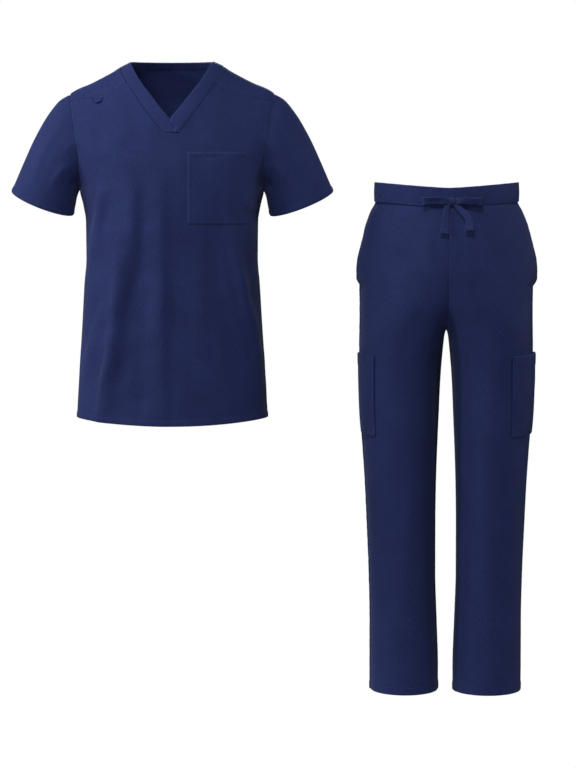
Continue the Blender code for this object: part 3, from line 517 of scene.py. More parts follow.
# A place on the top is (turn, rise, side): turn runs from -90 to 90 degrees between the side seams
# or armholes, rise from -1 at the hem, through 0 level with the underarm, to 1 on the ridge.


def chest_drop(fraction):
    return lerp(CHEST_LINE, ARMHOLE_MIDDLE, fraction**2)


def hem_drop(fraction):
    return HEM_DROP + HEM_DIP * (1 - fraction**2)


def torso_level(fraction, rise, side):
    """The drop at this rise, and how much the shoulder's slope has drawn the cloth in there."""
    chest = chest_drop(fraction)
    below = lerp(UNDERARM, hem_drop(fraction), -rise)
    middle = chest + (UNDERARM - chest) * np.cos(np.pi * rise)
    climb = np.sin(np.pi * np.clip(rise - 0.5, 0.0, 0.5))
    drop = chest
    for _ in range(6):
        drop = lerp(chest, ridge_drop(fraction * half_width(drop)), climb)
    power = np.where(side == FRONT, SLOPE_POWER[FRONT], SLOPE_POWER[BACK])
    drawn_in = np.sqrt(np.maximum(0.0, 1 - climb**power))
    level = np.where(rise <= 0, below, np.where(rise <= 0.5, middle, drop))
    return level, np.where(rise <= 0.5, 1.0, drawn_in)


def torso_base(turn, rise, side):
    over = rise > 1
    rise, side = np.where(over, 2 - rise, rise), np.where(over, -side, side)
    across = np.sin(turn)
    fraction = np.abs(across)
    drop, drawn_in = torso_level(fraction, rise, side)
    girth_drop = np.maximum(drop, chest_drop(fraction))
    front = side == FRONT
    depth = np.where(front, torso_depth[FRONT](girth_drop), torso_depth[BACK](girth_drop))
    down = np.minimum(1.0, (girth_drop - ARMHOLE_MIDDLE) / (UNDERARM - ARMHOLE_MIDDLE))
    edge = np.where(front, ARMHOLE_DEPTH[FRONT], ARMHOLE_DEPTH[BACK])
    edge = edge * np.maximum(0.0, 1 - down * down) ** ARMHOLE_POWER
    rest = 1 - (edge / depth) ** ROUNDNESS
    out = depth * np.maximum(0.0, 1 - rest * fraction**ROUNDNESS) ** (1 / ROUNDNESS)
    return point(across * half_width(drop), side * out * drawn_in, -drop)


def torso_spots(turn, rise, side, lift=0.0):
    """Points and outward normals on the top's body, with its large folds, moved out by the lift."""
    turn, rise = np.broadcast_arrays(np.asarray(turn, float), np.asarray(rise, float))
    base = torso_base(turn, rise, side)
    centre = point(0.6 * base[..., 0], 0.0, np.minimum(base[..., 2], -0.30))
    normals = normals_on(lambda u, v: torso_base(u, v, side), turn, rise, (-QUARTER, QUARTER))
    normals = normals * np.where(dot(normals, base - centre) > 0, 1.0, -1.0)[..., None]
    folds = fold_lift(TOP_FOLDS[side], base[..., 0], -base[..., 2])
    folds = folds * (1 - np.abs(np.sin(turn)) ** 6)
    return base + normals * (folds + lift)[..., None], normals


def torso_place(x, drop):
    """The (turn, rise) of a place given in the front view."""
    fraction = np.minimum(1.0, np.abs(x) / half_width(drop))
    chest = chest_drop(fraction)
    below = (UNDERARM - drop) / (hem_drop(fraction) - UNDERARM)
    middle = np.arccos(np.clip((drop - chest) / (UNDERARM - chest), -1.0, 1.0)) / np.pi
    climb = np.clip((chest - drop) / (chest - ridge_drop(np.abs(x))), 0.0, 1.0)
    upper = 0.5 + np.arcsin(climb) / np.pi
    rise = np.where(drop > UNDERARM, below, np.where(drop > chest, middle, upper))
    return np.copysign(np.arcsin(fraction), x), rise


def torso_at(x, drop, side, lift=0.0):
    return torso_spots(*torso_place(x, drop), side, lift)


def edge_place(turn, edge_drop):
    """The (turn, rise) on the front where a column at this turn meets an edge given by its drop."""
    fraction = np.sin(np.abs(turn))
    drop = np.full(np.shape(fraction), 0.06)
    for _ in range(30):
        drop = lerp(drop, edge_drop(fraction * half_width(drop)), 0.7)
    return torso_place(fraction * half_width(drop), drop)


NECK_PLACES = [torso_place(station.sewn_x, station.sewn_drop) for station in NECK]
NECK_CORNER, SEAM_CORNER = NECK_PLACES[-1][0], NECK_PLACES[SEAM_STATION][0]


def front_top_rise(turn):
    """The rise at which the front ends: the neck band's seam, then the shoulder seam."""
    neck = edge_place(turn, neck_seam_drop)[1]
    shoulder = edge_place(turn, shoulder_seam_drop)[1]
    return np.where(np.abs(turn) < SEAM_CORNER, neck, shoulder)


def back_top_rise(turn):
    """The rise at which the back ends: the seam round the neck, then the shoulder ridge."""
    x = np.sin(np.abs(turn)) * half_width(BACK_NECK_DROP)
    neck = torso_place(x, np.full(np.shape(x), BACK_NECK_DROP))[1]
    return np.where(np.abs(turn) < NECK_CORNER - 1e-9, neck, 1.0)


# A place on a leg is (turn, level): turn 0 on the side seam, 1 on the front's inner seam and -1 on
# the back's; level 0 at the waistband's seam, 1 at the crotch and 2 at the hem.


def leg_reach(drop):
    return (leg_outer(drop) - leg_inner(drop)) / 2


def leg_angle(turn, drop):
    """How far round from the side seam this turn comes."""
    seam = np.arccos(np.clip(1 - leg_outer(drop) / leg_reach(drop), -1.0, 1.0))
    cut_off = np.pi - seam
    some = np.maximum(cut_off, 1e-6)
    power = (np.pi - CLOSING * (np.pi - some)) / some
    closed = np.pi * np.abs(turn) - some * np.abs(turn) ** power
    return np.copysign(np.where(cut_off < 1e-6, np.pi * np.abs(turn), closed), turn)


def band_dip(angle):
    return BAND_DIP * (1 - np.abs(np.cos(angle)) ** BAND_DIP_POWER)


def leg_drop(turn, level):
    """The drop of a level, which runs evenly down the side seam and closes up on the crotch."""
    seam = BAND_HEIGHT + band_dip(leg_angle(turn, BAND_HEIGHT))
    hip = CROTCH - (CROTCH - seam) * np.maximum(0.0, 1 - level) ** (1 + turn * turn)
    bottom = LEG_HEM + LEG_HEM_DIP * np.sin(np.abs(turn) * np.pi)
    return np.where(level < 1, hip, lerp(CROTCH, bottom, level - 1))


def leg_base(turn, level):
    drop = leg_drop(turn, level)
    side = np.where(turn >= 0, FRONT, BACK)
    angle = leg_angle(turn, drop)
    x = leg_outer(drop) - leg_reach(drop) * (1 - np.cos(angle))
    depth = np.where(side == FRONT, leg_depth[FRONT](drop), leg_depth[BACK](drop))
    near_crotch = bell(drop - CROTCH, 0.070)
    flat = np.where((np.abs(angle) > QUARTER) & (side == FRONT), 1 - 0.45 * near_crotch, 1.0)
    round_leg = np.maximum(np.sin(np.abs(angle)), 0.0) ** flat
    return point(x, side * depth * round_leg, -drop)


def leg_lift(turn, side, base):
    """The large folds, and the stand-off of the front panel along the side pocket's mouth."""
    drop = -base[..., 2]
    round_leg = np.sqrt(np.maximum(0.0, np.sin(np.abs(turn) * np.pi)))
    lift = fold_lift(LEG_FOLDS[side], base[..., 0], drop) * round_leg
    if side == FRONT:
        fade = np.maximum(0.0, 1 - leg_angle(turn, drop) / MOUTH_FADE) ** 2
        opening = np.clip((MOUTH_FOOT - drop) / MOUTH_CLOSING, 0.0, 1.0)
        lift = lift + mouth_reach(drop) * fade * opening
    return lift


def leg_spots(turn, level, side, lift=None):
    """Points and outward normals on the left leg. A given lift takes the place of the folds."""
    turn, level = np.broadcast_arrays(np.asarray(turn, float), np.asarray(level, float))
    base = leg_base(turn, level)
    centre = point(leg_outer(-base[..., 2]) - leg_reach(-base[..., 2]), 0.0, base[..., 2])
    normals = normals_on(leg_base, turn, level, (-1.0, 1.0))
    normals = normals * np.where(dot(normals, base - centre) > 0, 1.0, -1.0)[..., None]
    out = leg_lift(turn, side, base) if lift is None else np.broadcast_to(lift, turn.shape)
    return base + normals * out[..., None], normals


def leg_at(angle, drop, lift):
    """A spot on the left leg below the crotch, this far round from the side seam."""
    side = np.where(angle >= 0, FRONT, BACK)
    turn = angle / np.pi
    level = 1 + (drop - CROTCH) / (leg_drop(np.abs(turn), np.full(np.shape(turn), 2.0)) - CROTCH)
    front = leg_spots(turn, level, FRONT)
    back = leg_spots(turn, level, BACK)
    chosen = (side == FRONT)[..., None]
    points, normals = np.where(chosen, front[0], back[0]), np.where(chosen, front[1], back[1])
    return points + normals * np.asarray(lift)[..., None], normals


# --- cloth ---


# The spacing of the points beside a sewn edge, how far in it reaches, and how fast it grows beyond
FINE_STEP, FINE_REACH, FINE_GROWTH = 0.0010, 0.0115, 0.22


def fine_ends(length, start=True, end=True, coarse=0.0046):
    """Shares of a length from 0 to 1, drawn close together towards its sewn ends."""
    places = np.linspace(0.0, length, 3000)
    near = np.minimum(places if start else length, length - places if end else length)
    step = np.clip(FINE_STEP + FINE_GROWTH * (near - FINE_REACH), FINE_STEP, coarse)
    count = np.concatenate([[0.0], np.cumsum(np.diff(places) / step[1:])])
    marks = np.linspace(0.0, count[-1], math.ceil(count[-1]) + 1)
    return np.interp(marks, count, places) / length


def uneven(s, seed):
    """A smooth wander between about -1 and 1, with bends some 1 unit apart."""
    phases = (0.3, 1.7, 2.9)
    pace = (2.1, 3.7, 5.9)
    waves = [np.sin(s * k + p + seed * (1.3 + 0.7 * p)) for k, p in zip(pace, phases)]
    return (waves[0] + 0.7 * waves[1] + 0.5 * waves[2]) / 1.7


Crease = namedtuple("Crease", "line height left right")


def crease_lift(creases, x, drop):
    """How far the creases lift the cloth: each has its own width to the left and to the right."""
    lift = np.zeros(np.shape(x))
    for number, crease in enumerate(creases):
        line = np.stack(through(crease.line, np.linspace(0, len(crease.line) - 1, 36)), axis=-1)
        low, high = line.min(axis=0) - 0.09, line.max(axis=0) + 0.09
        near = (x > low[0]) & (x < high[0]) & (drop > low[1]) & (drop < high[1])
        if not near.any():
            continue
        here = np.stack([x[near], drop[near]], axis=-1)
        nearest = ((here[:, None, :] - line[None]) ** 2).sum(axis=-1).argmin(axis=1)
        runs = unit(np.gradient(line, axis=0))
        steps = np.concatenate([[0.0], np.cumsum(np.linalg.norm(np.diff(line, axis=0), axis=-1))])
        gap = here - line[nearest]
        run = runs[nearest]
        aside = gap[:, 0] * run[:, 1] - gap[:, 1] * run[:, 0]
        along = steps[nearest] + dot(gap, run)
        t = np.clip(along / steps[-1], 0.0, 1.0)
        wander = uneven(along / 0.05, number + 1)
        width = np.where(aside < 0, crease.left, crease.right) * (1 + 0.18 * wander)
        rise = np.sin(np.pi * t) ** 1.4 * (1 + 0.22 * uneven(along / 0.07, number + 5))
        lift[near] += crease.height * rise * bell(aside, width)
    return lift


def grid_normals(points, outward, wrap=False):
    """The normals of a grid from its neighbours, on the side where most of the outward ones are."""
    if wrap:
        across = np.roll(points[:, :-1], -1, axis=1) - np.roll(points[:, :-1], 1, axis=1)
        across = np.concatenate([across, across[:, :1]], axis=1)
    else:
        across = np.gradient(points, axis=1)
    normals = unit(np.cross(across, np.gradient(points, axis=0)))
    return normals if dot(normals, outward).sum() > 0 else -normals


def lengths(points, axis):
    """How far along its rows, or down its columns, each point of a grid lies."""
    steps = np.linalg.norm(np.diff(points, axis=axis), axis=-1)
    first = np.zeros_like(np.take(steps, [0], axis=axis))
    return np.concatenate([first, np.cumsum(steps, axis=axis)], axis=axis)


class Sheet:
    """A sheet of cloth as a grid of points, with its outward normals and its own lie in metres."""

    def __init__(self, points, outward, wrap=False):
        self.points = points
        self.wrap = wrap
        self.outward = outward
        self.normals = grid_normals(points, outward, wrap)
        self.across = lengths(points, 1)
        self.along = lengths(points, 0)
        self.from_edge = {
            "start": self.across,
            "end": self.across[:, -1:] - self.across,
            "first": self.along,
            "last": self.along[-1:] - self.along,
        }
        middle = self.across.shape[1] // 2
        down = self.across.shape[0] // 2
        self.lie = np.stack(
            [self.across - self.across[:, [middle]], self.along - self.along[[down]]], axis=-1
        )
        self.worn = np.zeros(points.shape[:2])

    def lift(self, amount):
        """Moves the sheet out along its normals and works its normals out again."""
        self.points = self.points + self.normals * amount[..., None]
        self.normals = grid_normals(self.points, self.outward, self.wrap)

    def flat_size(self):
        return float(self.across[:, -1].max()), float(self.along[-1].max())

    def area(self):
        right, down = np.diff(self.points, axis=1), np.diff(self.points, axis=0)
        return float(np.linalg.norm(np.cross(right[:-1], down[:, :-1]), axis=-1).sum())

    def sampled(self, rows, columns):
        """Points and normals at fractional rows and columns."""
        rows = np.clip(rows, 0, self.points.shape[0] - 1.001)
        columns = np.clip(columns, 0, self.points.shape[1] - 1.001)
        i, j = rows.astype(int), columns.astype(int)
        s, t = (rows - i)[..., None], (columns - j)[..., None]
        found = []
        for field in (self.points, self.normals):
            upper = lerp(field[i, j], field[i, j + 1], t)
            lower = lerp(field[i + 1, j], field[i + 1, j + 1], t)
            found.append(lerp(upper, lower, s))
        return found[0], unit(found[1])

    def line_beside(self, edge, inset, span=(0.0, 1.0)):
        """A line on the sheet this far in from one edge, over a span of that edge."""
        distance = self.from_edge[edge]
        down_a_side = edge in SIDES
        if not down_a_side:
            distance = distance.T
        if edge in ("end", "last"):
            # np.interp wants distances that grow
            distance, inset = -distance, -inset
        first, last = (int(share * (len(distance) - 1)) for share in span)
        marks = np.arange(first, last + 1)
        steps = np.arange(distance.shape[1])
        found = np.array([np.interp(inset, distance[mark], steps) for mark in marks])
        places = (marks.astype(float), found)
        return self.sampled(*(places if down_a_side else places[::-1]))


def mirrored(vectors):
    return vectors * np.array([-1.0, 1.0, 1.0])


def mirror_lines(lines):
    return [(mirrored(points), mirrored(normals)) for points, normals in lines]


def mirror_sheet(sheet):
    other = Sheet(mirrored(sheet.points), mirrored(sheet.outward), sheet.wrap)
    other.worn = sheet.worn.copy()
    return other


# Sewn edges: how far the cloth sinks at the edge, how far its layers raise it, its pucker and wear
Sewn = namedtuple("Sewn", "sink height pucker wear")
SEWN = {
    "felled": Sewn(0.0016, 0.0007, 0.00034, 0.05),
    "plain": Sewn(0.0016, 0.0, 0.00016, 0.0),
    "hem": Sewn(0.0006, 0.0010, 0.00040, 0.20),
    "turned": Sewn(0.0005, 0.0004, 0.00022, 0.25),
    "patch": Sewn(0.0012, 0.0001, 0.00022, 0.0),
    "centre": Sewn(0.0005, 0.0003, 0.00025, 0.0),
}
# How far in from the edge each of these fades, and the groove along a row of stitches
SINK_REACH, WEAR_REACH, PUCKER_REACH = 0.0013, 0.0020, 0.008
LAYER_EDGE, LAYER_FADE = 0.0013, 0.0006
ROW_DEPTH, ROW_REACH = 0.00055, 0.0009

# How an edge is sewn: the rows of its stitches are this far in, and a weight fades it out
Seam = namedtuple("Seam", "edge kind rows weight")


def seam(edge, kind, *rows, weight=1.0):
    return Seam(edge, kind, rows, weight)


def edge_profile(distance, kind, rows, along, seed):
    """How a sewn or hemmed edge lifts the cloth, at a distance from it, and how far it is worn."""
    sewn = SEWN[kind]
    ripple = uneven(along / 0.006, seed) * 0.5 + uneven(along / 0.011, seed + 3) * 0.5
    inmost = max(rows, default=0.0)
    inside = np.clip((distance - inmost - LAYER_EDGE) / LAYER_FADE, -30, 30)
    lift = -sewn.sink * bell(distance, SINK_REACH) + sewn.height / (1 + np.exp(inside))
    for row in rows:
        lift -= ROW_DEPTH * bell(distance - row, ROW_REACH)
    lift += sewn.pucker * ripple * bell(distance, inmost + PUCKER_REACH)
    worn = sewn.wear * bell(distance, WEAR_REACH) * (0.7 + 0.3 * ripple)
    return lift, worn


def finish_edges(sheet, seams, seed):
    """Sinks, raises and puckers the cloth along its sewn and hemmed edges."""
    lift = np.zeros(sheet.points.shape[:2])
    for number, one in enumerate(seams):
        along = sheet.along if one.edge in SIDES else sheet.across
        distance = sheet.from_edge[one.edge]
        added, worn = edge_profile(distance, one.kind, one.rows, along, seed + number)
        lift += added * one.weight
        sheet.worn = np.clip(sheet.worn + worn * one.weight, 0.0, 1.0)
    sheet.lift(lift)


def sew(name, nodes, sheets, finish, at, wall, held=None):
    """A shell of cloth on one or more sheets that share edges, standing for its CAD nodes."""
    bm = bmesh.new()
    lay = bm.verts.layers.float_vector.new("lay")
    worn = bm.verts.layers.float.new("worn")
    for sheet in sheets:
        rows, columns = sheet.points.shape[:2]
        made = bmesh.ops.create_grid(bm, x_segments=columns - 1, y_segments=rows - 1, size=1.0)
        places = (sheet.points + at).reshape(-1, 3).tolist()
        lies = sheet.lie.reshape(-1, 2).tolist()
        rubs = sheet.worn.reshape(-1).tolist()
        for vert, place, lie, rub in zip(made["verts"], places, lies, rubs):
            vert.co = place
            vert[lay] = (lie[0], lie[1], 0.0)
            vert[worn] = rub
        middle = (rows // 2) * columns + columns // 2
        outward = Vector(sheet.normals.reshape(-1, 3)[middle])
        faces = list({face for vert in made["verts"] for face in vert.link_faces})
        made["verts"][middle].normal_update()
        if made["verts"][middle].normal.dot(outward) < 0:
            bmesh.ops.reverse_faces(bm, faces=faces)
    bmesh.ops.remove_doubles(bm, verts=bm.verts, dist=SAME_PLACE)
    piece = add_piece(name, bm, finish, nodes)
    shell = piece.modifiers.new("wall", "SOLIDIFY")
    shell.thickness = wall
    shell.offset = -1.0
    if held:
        wide = sheets[0].flat_size()[0]
        high = max(sheet.flat_size()[1] for sheet in sheets)
        cut = sum(sheet.area() for sheet in sheets)
    return piece


def sew_cloth(node, sheets, at, wall=WALL, held="hung"):
    sew(f"{node}_cloth", [node], sheets, CLOTH, at, wall, held)


def sew_pair(node, left, at, held="hung"):
    """The wearer's left piece, and its mirror image as the right one."""
    sew_cloth(f"{node}_left", [left], at, held=held)
    sew_cloth(f"{node}_right", [mirror_sheet(left)], at, held=held)


def add_piece(name, bm, finish, nodes=()):
    mesh = bpy.data.meshes.new(name)
    bm.to_mesh(mesh)
    bm.free()
    mesh.shade_smooth()
    mesh.materials.append(finish)
    piece = bpy.data.objects.new(name, mesh)
    bpy.context.scene.collection.objects.link(piece)
    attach(piece, "root")
    if nodes:
        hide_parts(*nodes)
    return piece


# --- stitches ---

STITCH = Vector((0.0026, 0.0008, 0.0006))
STITCH_PITCH, STITCH_RISE, STITCH_LOOK = 0.0033, 0.00008, 0.001


def at_marks(marks, steps, values):
    return np.stack([np.interp(marks, steps, column) for column in values.T], axis=-1)


def one_stitch():
    bm = bmesh.new()
    bmesh.ops.create_icosphere(bm, subdivisions=1, radius=0.5)
    bmesh.ops.scale(bm, vec=STITCH, verts=bm.verts)
    mesh = bpy.data.meshes.new("stitch")
    bm.to_mesh(mesh)
    bm.free()
    return mesh


def stitching(name, lines, at, finish):
    """Rows of stitches along lines of (points, normals), all in one piece."""
    stitch = one_stitch()
    form = np.array([vert.co for vert in stitch.vertices])
    frames = []
    for points, normals in lines:
        steps = lengths(points[None], 1)[0]
        marks = np.arange(STITCH_PITCH / 2, steps[-1], STITCH_PITCH)
        place = at_marks(marks, steps, points)
        ahead = at_marks(marks + STITCH_LOOK, steps, points)
        behind = at_marks(marks - STITCH_LOOK, steps, points)
        up = unit(at_marks(marks, steps, normals))
        run = unit(ahead - behind)
        frames.append(np.stack([run, np.cross(up, run), up, place + up * STITCH_RISE + at], axis=1))
    frames = np.concatenate(frames)
    bm = bmesh.new()
    for _ in frames:
        bm.from_mesh(stitch)
    piece = add_piece(name, bm, finish)
    axes, places = frames[:, None, :3], frames[:, None, 3]
    spots = (form[None, :, :, None] * axes).sum(axis=2) + places
    piece.data.vertices.foreach_set("co", spots.reshape(-1))
    piece.data.update()
    bpy.data.meshes.remove(stitch)


# --- the top ---

TOP_CREASES = {
    FRONT: [
        Crease([(-0.1350, 0.235), (-0.1470, 0.320), (-0.1540, 0.370), (-0.1640, 0.440)],
               0.0072, 0.0075, 0.013),
        Crease([(-0.1280, 0.270), (-0.1340, 0.330), (-0.1400, 0.400)], -0.0026, 0.012, 0.012),
        Crease([(-0.0800, 0.190), (-0.0740, 0.300), (-0.0730, 0.360), (-0.0870, 0.480)],
               0.0070, 0.026, 0.013),
        Crease([(-0.101, 0.37), (-0.1093, 0.452), (-0.1183, 0.573), (-0.1334, 0.653),
                (-0.152, 0.8)],
               0.0125, 0.0085, 0.024),
        Crease([(-0.057, 0.25), (-0.061, 0.361), (-0.0781, 0.482), (-0.0912, 0.573),
                (-0.108, 0.68)],
               -0.0064, 0.018, 0.018),
        Crease([(-0.1340, 0.480), (-0.1570, 0.560), (-0.1780, 0.660)], 0.0052, 0.0075, 0.012),
        Crease([(-0.0150, 0.180), (-0.0150, 0.430), (-0.0150, 0.800)], 0.0078, 0.024, 0.0095),
        Crease([(0.0200, 0.290), (0.0160, 0.420), (0.0220, 0.580)], -0.0036, 0.018, 0.026),
        Crease([(-0.0410, 0.330), (-0.0600, 0.400)], 0.0018, 0.007, 0.012),
        Crease([(0.106, 0.27), (0.1211, 0.361), (0.1453, 0.482), (0.167, 0.573), (0.182, 0.72)],
               0.0110, 0.0080, 0.013),
        Crease([(0.082, 0.29), (0.088, 0.40), (0.096, 0.482), (0.1161, 0.573), (0.138, 0.69)],
               -0.0064, 0.018, 0.014),
        Crease([(0.0760, 0.520), (0.1000, 0.592), (0.1260, 0.670)], 0.0040, 0.0080, 0.014),
        Crease([(0.1040, 0.245), (0.1260, 0.318)], 0.0024, 0.007, 0.011),
        Crease([(0.1410, 0.275), (0.1580, 0.310)], 0.0024, 0.007, 0.011),
        Crease([(0.0520, 0.400), (0.0560, 0.500), (0.0500, 0.620)], 0.0020, 0.020, 0.014),
        Crease([(-0.1620, 0.120), (-0.1400, 0.150), (-0.1320, 0.196)], -0.0020, 0.014, 0.010),
        Crease([(-0.0620, 0.640), (-0.0560, 0.680), (-0.0580, 0.735)], -0.0024, 0.018, 0.012),
        Crease([(0.0300, 0.600), (0.0240, 0.670), (0.0300, 0.730)], 0.0026, 0.014, 0.012),
    ],
    BACK: [
        Crease([(-0.120, 0.262), (-0.130, 0.380), (-0.122, 0.500)], 0.0040, 0.012, 0.007),
        Crease([(0.118, 0.270), (0.134, 0.370), (0.150, 0.480)], 0.0042, 0.008, 0.013),
        Crease([(-0.050, 0.300), (-0.042, 0.430), (-0.060, 0.600)], -0.0028, 0.020, 0.013),
        Crease([(0.030, 0.420), (0.046, 0.560), (0.050, 0.715)], 0.0034, 0.018, 0.010),
        Crease([(-0.100, 0.520), (-0.118, 0.620), (-0.124, 0.724)], 0.0044, 0.010, 0.016),
        Crease([(0.110, 0.520), (0.128, 0.620), (0.138, 0.715)], 0.0036, 0.014, 0.008),
        Crease([(-0.178, 0.262), (-0.150, 0.240), (-0.120, 0.196)], 0.0034, 0.009, 0.007),
        Crease([(0.178, 0.262), (0.152, 0.236), (0.126, 0.200)], 0.0034, 0.007, 0.009),
        Crease([(-0.070, 0.060), (0.000, 0.078), (0.070, 0.060)], 0.0016, 0.016, 0.012),
    ],
}


def top_relief(x, drop, side):
    """The creases on the top, and the soft unevenness of worn cloth between them."""
    sway = uneven(x / 0.060 + 0.4 * uneven(drop / 0.12, 2), 4 + side)
    broad = 0.0008 * sway * uneven(drop / 0.075, 7)
    return crease_lift(TOP_CREASES[side], x, drop) + broad


def top_sheet(turns, rises, side):
    """A sheet on the top's body with its creases, which die away towards its edges."""
    points, normals = torso_spots(turns, rises, side)
    sheet = Sheet(points, normals)
    near_side = np.minimum(sheet.from_edge["start"], sheet.from_edge["end"])
    calm = 1 - bell(near_side, 0.012)
    sheet.lift(top_relief(points[..., 0], -points[..., 2], side) * calm)
    return sheet


def body_rises(tops):
    """The rises of each column's points, from the hem up to its own top."""
    below = -1 + fine_ends(HEM_DROP - UNDERARM, end=False)
    above = fine_ends(BODY_ABOVE, start=False)[1:]
    return np.concatenate([below[:, None] + 0 * tops, above[:, None] * tops])


def armhole_seams(rises, side_rows):
    """How the sides of the front or the back are sewn: the armhole above, the side seam below."""
    rows_above = np.arange(len(rises)) - np.argmax(rises[:, 0] >= 0)
    upper = np.clip(rows_above / 6.0, 0.0, 1.0)[:, None]
    seams = []
    for edge in SIDES:
        seams.append(seam(edge, "felled", *FELLED_ROWS, weight=upper))
        seams.append(seam(edge, "plain", *side_rows, weight=1 - upper))
    return seams


def body_lines(sheet, rises, neck):
    """The stitches of the hem, of the neck's seam, and beside the armholes."""
    underarm = float(np.argmax(rises[:, 0] >= 0)) / len(rises)
    span = np.argmax(neck) / len(neck), 1 - np.argmax(neck[::-1]) / len(neck)
    return [
        sheet.line_beside("first", TOP_HEM_STITCH),
        sheet.line_beside("last", NECK_STITCH, span),
        *[sheet.line_beside(edge, row, (underarm, 1.0)) for edge in SIDES for row in FELLED_ROWS],
    ]


def top_front():
    turns = -QUARTER + 2 * QUARTER * fine_ends(FRONT_ACROSS)
    rises = body_rises(front_top_rise(turns))
    sheet = top_sheet(turns[None], rises, FRONT)
    shoulder = (np.abs(turns) > SEAM_CORNER - 0.02).astype(float)[None]
    seams = armhole_seams(rises, ())
    seams += [
        seam("first", "hem", TOP_HEM_STITCH),
        seam("last", "plain", weight=shoulder),
        seam("last", "plain", NECK_STITCH, weight=1 - shoulder),
    ]
    finish_edges(sheet, seams, 1)
    sew_cloth("top_front", [sheet], TOP_AT)
    return body_lines(sheet, rises, np.abs(turns) < SEAM_CORNER - 0.01)


def over_shoulder(wearer_side):
    """The back panel from the shoulder ridge down to the seam on the front."""
    parts = fine_ends(SHOULDER_DOWN, start=False)[:, None]
    spread = fine_ends(SHOULDER_ACROSS)
    neck_seam = NECK_PLACES[SEAM_STATION:][::-1]
    climbs = np.array([1 - float(rise) for _, rise in neck_seam])
    corners = np.array([float(turn) for turn, _ in neck_seam])
    first = np.interp(parts * climbs[-1], climbs, corners)
    turns = lerp(first, QUARTER, spread[None])
    foot = front_top_rise(np.maximum(turns, SEAM_CORNER + 1e-6))
    rises = 1 - parts * (1 - foot)
    return Sheet(*torso_spots(wearer_side * turns, np.minimum(rises, 1 - 1e-9), FRONT))


def top_back():
    turns = -QUARTER + 2 * QUARTER * fine_ends(BACK_ACROSS)
    corners = [np.argmin(np.abs(turns - corner)) for corner in (NECK_CORNER, -NECK_CORNER)]
    turns[corners] = NECK_CORNER, -NECK_CORNER
    tops = back_top_rise(turns)
    tops[corners] = 1.0
    rises = body_rises(tops)
    sheet = top_sheet(turns[None], rises, BACK)
    neck = np.abs(turns) < NECK_CORNER
    seams = armhole_seams(rises, FELLED_ROWS[:1])
    seams += [
        seam("first", "hem", TOP_HEM_STITCH),
        seam("last", "plain", NECK_STITCH, weight=0.2 * neck[None]),
    ]
    finish_edges(sheet, seams, 11)
    felled_edges = ("last", "end")
    felled = [seam(edge, "felled", *FELLED_ROWS) for edge in felled_edges]
    shoulders = [over_shoulder(wearer_side) for wearer_side in (LEFT, RIGHT)]
    for number, shoulder in enumerate(shoulders):
        finish_edges(shoulder, [*felled, seam("start", "plain")], 21 + number)
    sew_cloth("top_back", [sheet, *shoulders], TOP_AT)
    lines = body_lines(sheet, rises, neck)
    for shoulder in shoulders:
        lines += [shoulder.line_beside(edge, row) for row in FELLED_ROWS for edge in felled_edges]
    return lines


def ring_line(ring):
    """The middle of a sleeve's ring, and half the line across it in the front view."""
    middle = point(ring.outer_x + ring.inner_x, 0.0, -ring.inner_drop - ring.outer_drop) / 2
    half = point(ring.outer_x - ring.inner_x, 0.0, ring.inner_drop - ring.outer_drop) / 2
    return middle, half


def ring_points(along, up, out, side):
    """Points on the left sleeve, by how far up the ring's line and how far out from it they are."""
    ring = Ring(along, *(curve(along) for curve in sleeve_curves))
    middle, half = ring_line(ring)
    depth = np.where(side == FRONT, ring.front, ring.back)
    dip = np.where(side == FRONT, CUFF_DIP[FRONT], CUFF_DIP[BACK])
    _, cuff = ring_line(SLEEVE[-1])
    down_sleeve = unit(point(cuff[2], 0.0, -cuff[0]))
    places = middle + half * up[..., None] + point(0.0, side * depth * out, 0.0)
    return places + down_sleeve * (dip * out * along**2)[..., None]


# The sleeve's creases, by how far round it they lie (0 under the arm, 0.5 on top) and how far along
SLEEVE_CREASES = [
    Crease([(0.130, 0.10), (0.200, 0.45), (0.230, 0.85)], 0.0034, 0.030, 0.018),
    Crease([(0.060, 0.05), (0.095, 0.30), (0.105, 0.62)], -0.0030, 0.026, 0.022),
    Crease([(0.330, 0.15), (0.345, 0.50), (0.330, 0.95)], 0.0022, 0.020, 0.034),
    Crease([(0.800, 0.08), (0.745, 0.45), (0.720, 0.90)], 0.0034, 0.020, 0.032),
    Crease([(0.925, 0.05), (0.900, 0.35), (0.895, 0.70)], -0.0030, 0.024, 0.026),
    Crease([(0.620, 0.20), (0.610, 0.60), (0.630, 1.00)], 0.0022, 0.030, 0.020),
]


def around_armhole(ring):
    """Points round the armhole, and whether each is on the front or the back."""
    rise = np.clip(2 * np.minimum(ring, 1 - ring), 0.0, 1.0)
    side = np.where(ring <= 0.5, FRONT, BACK)
    return torso_base(np.full(ring.shape, QUARTER), rise, side), side


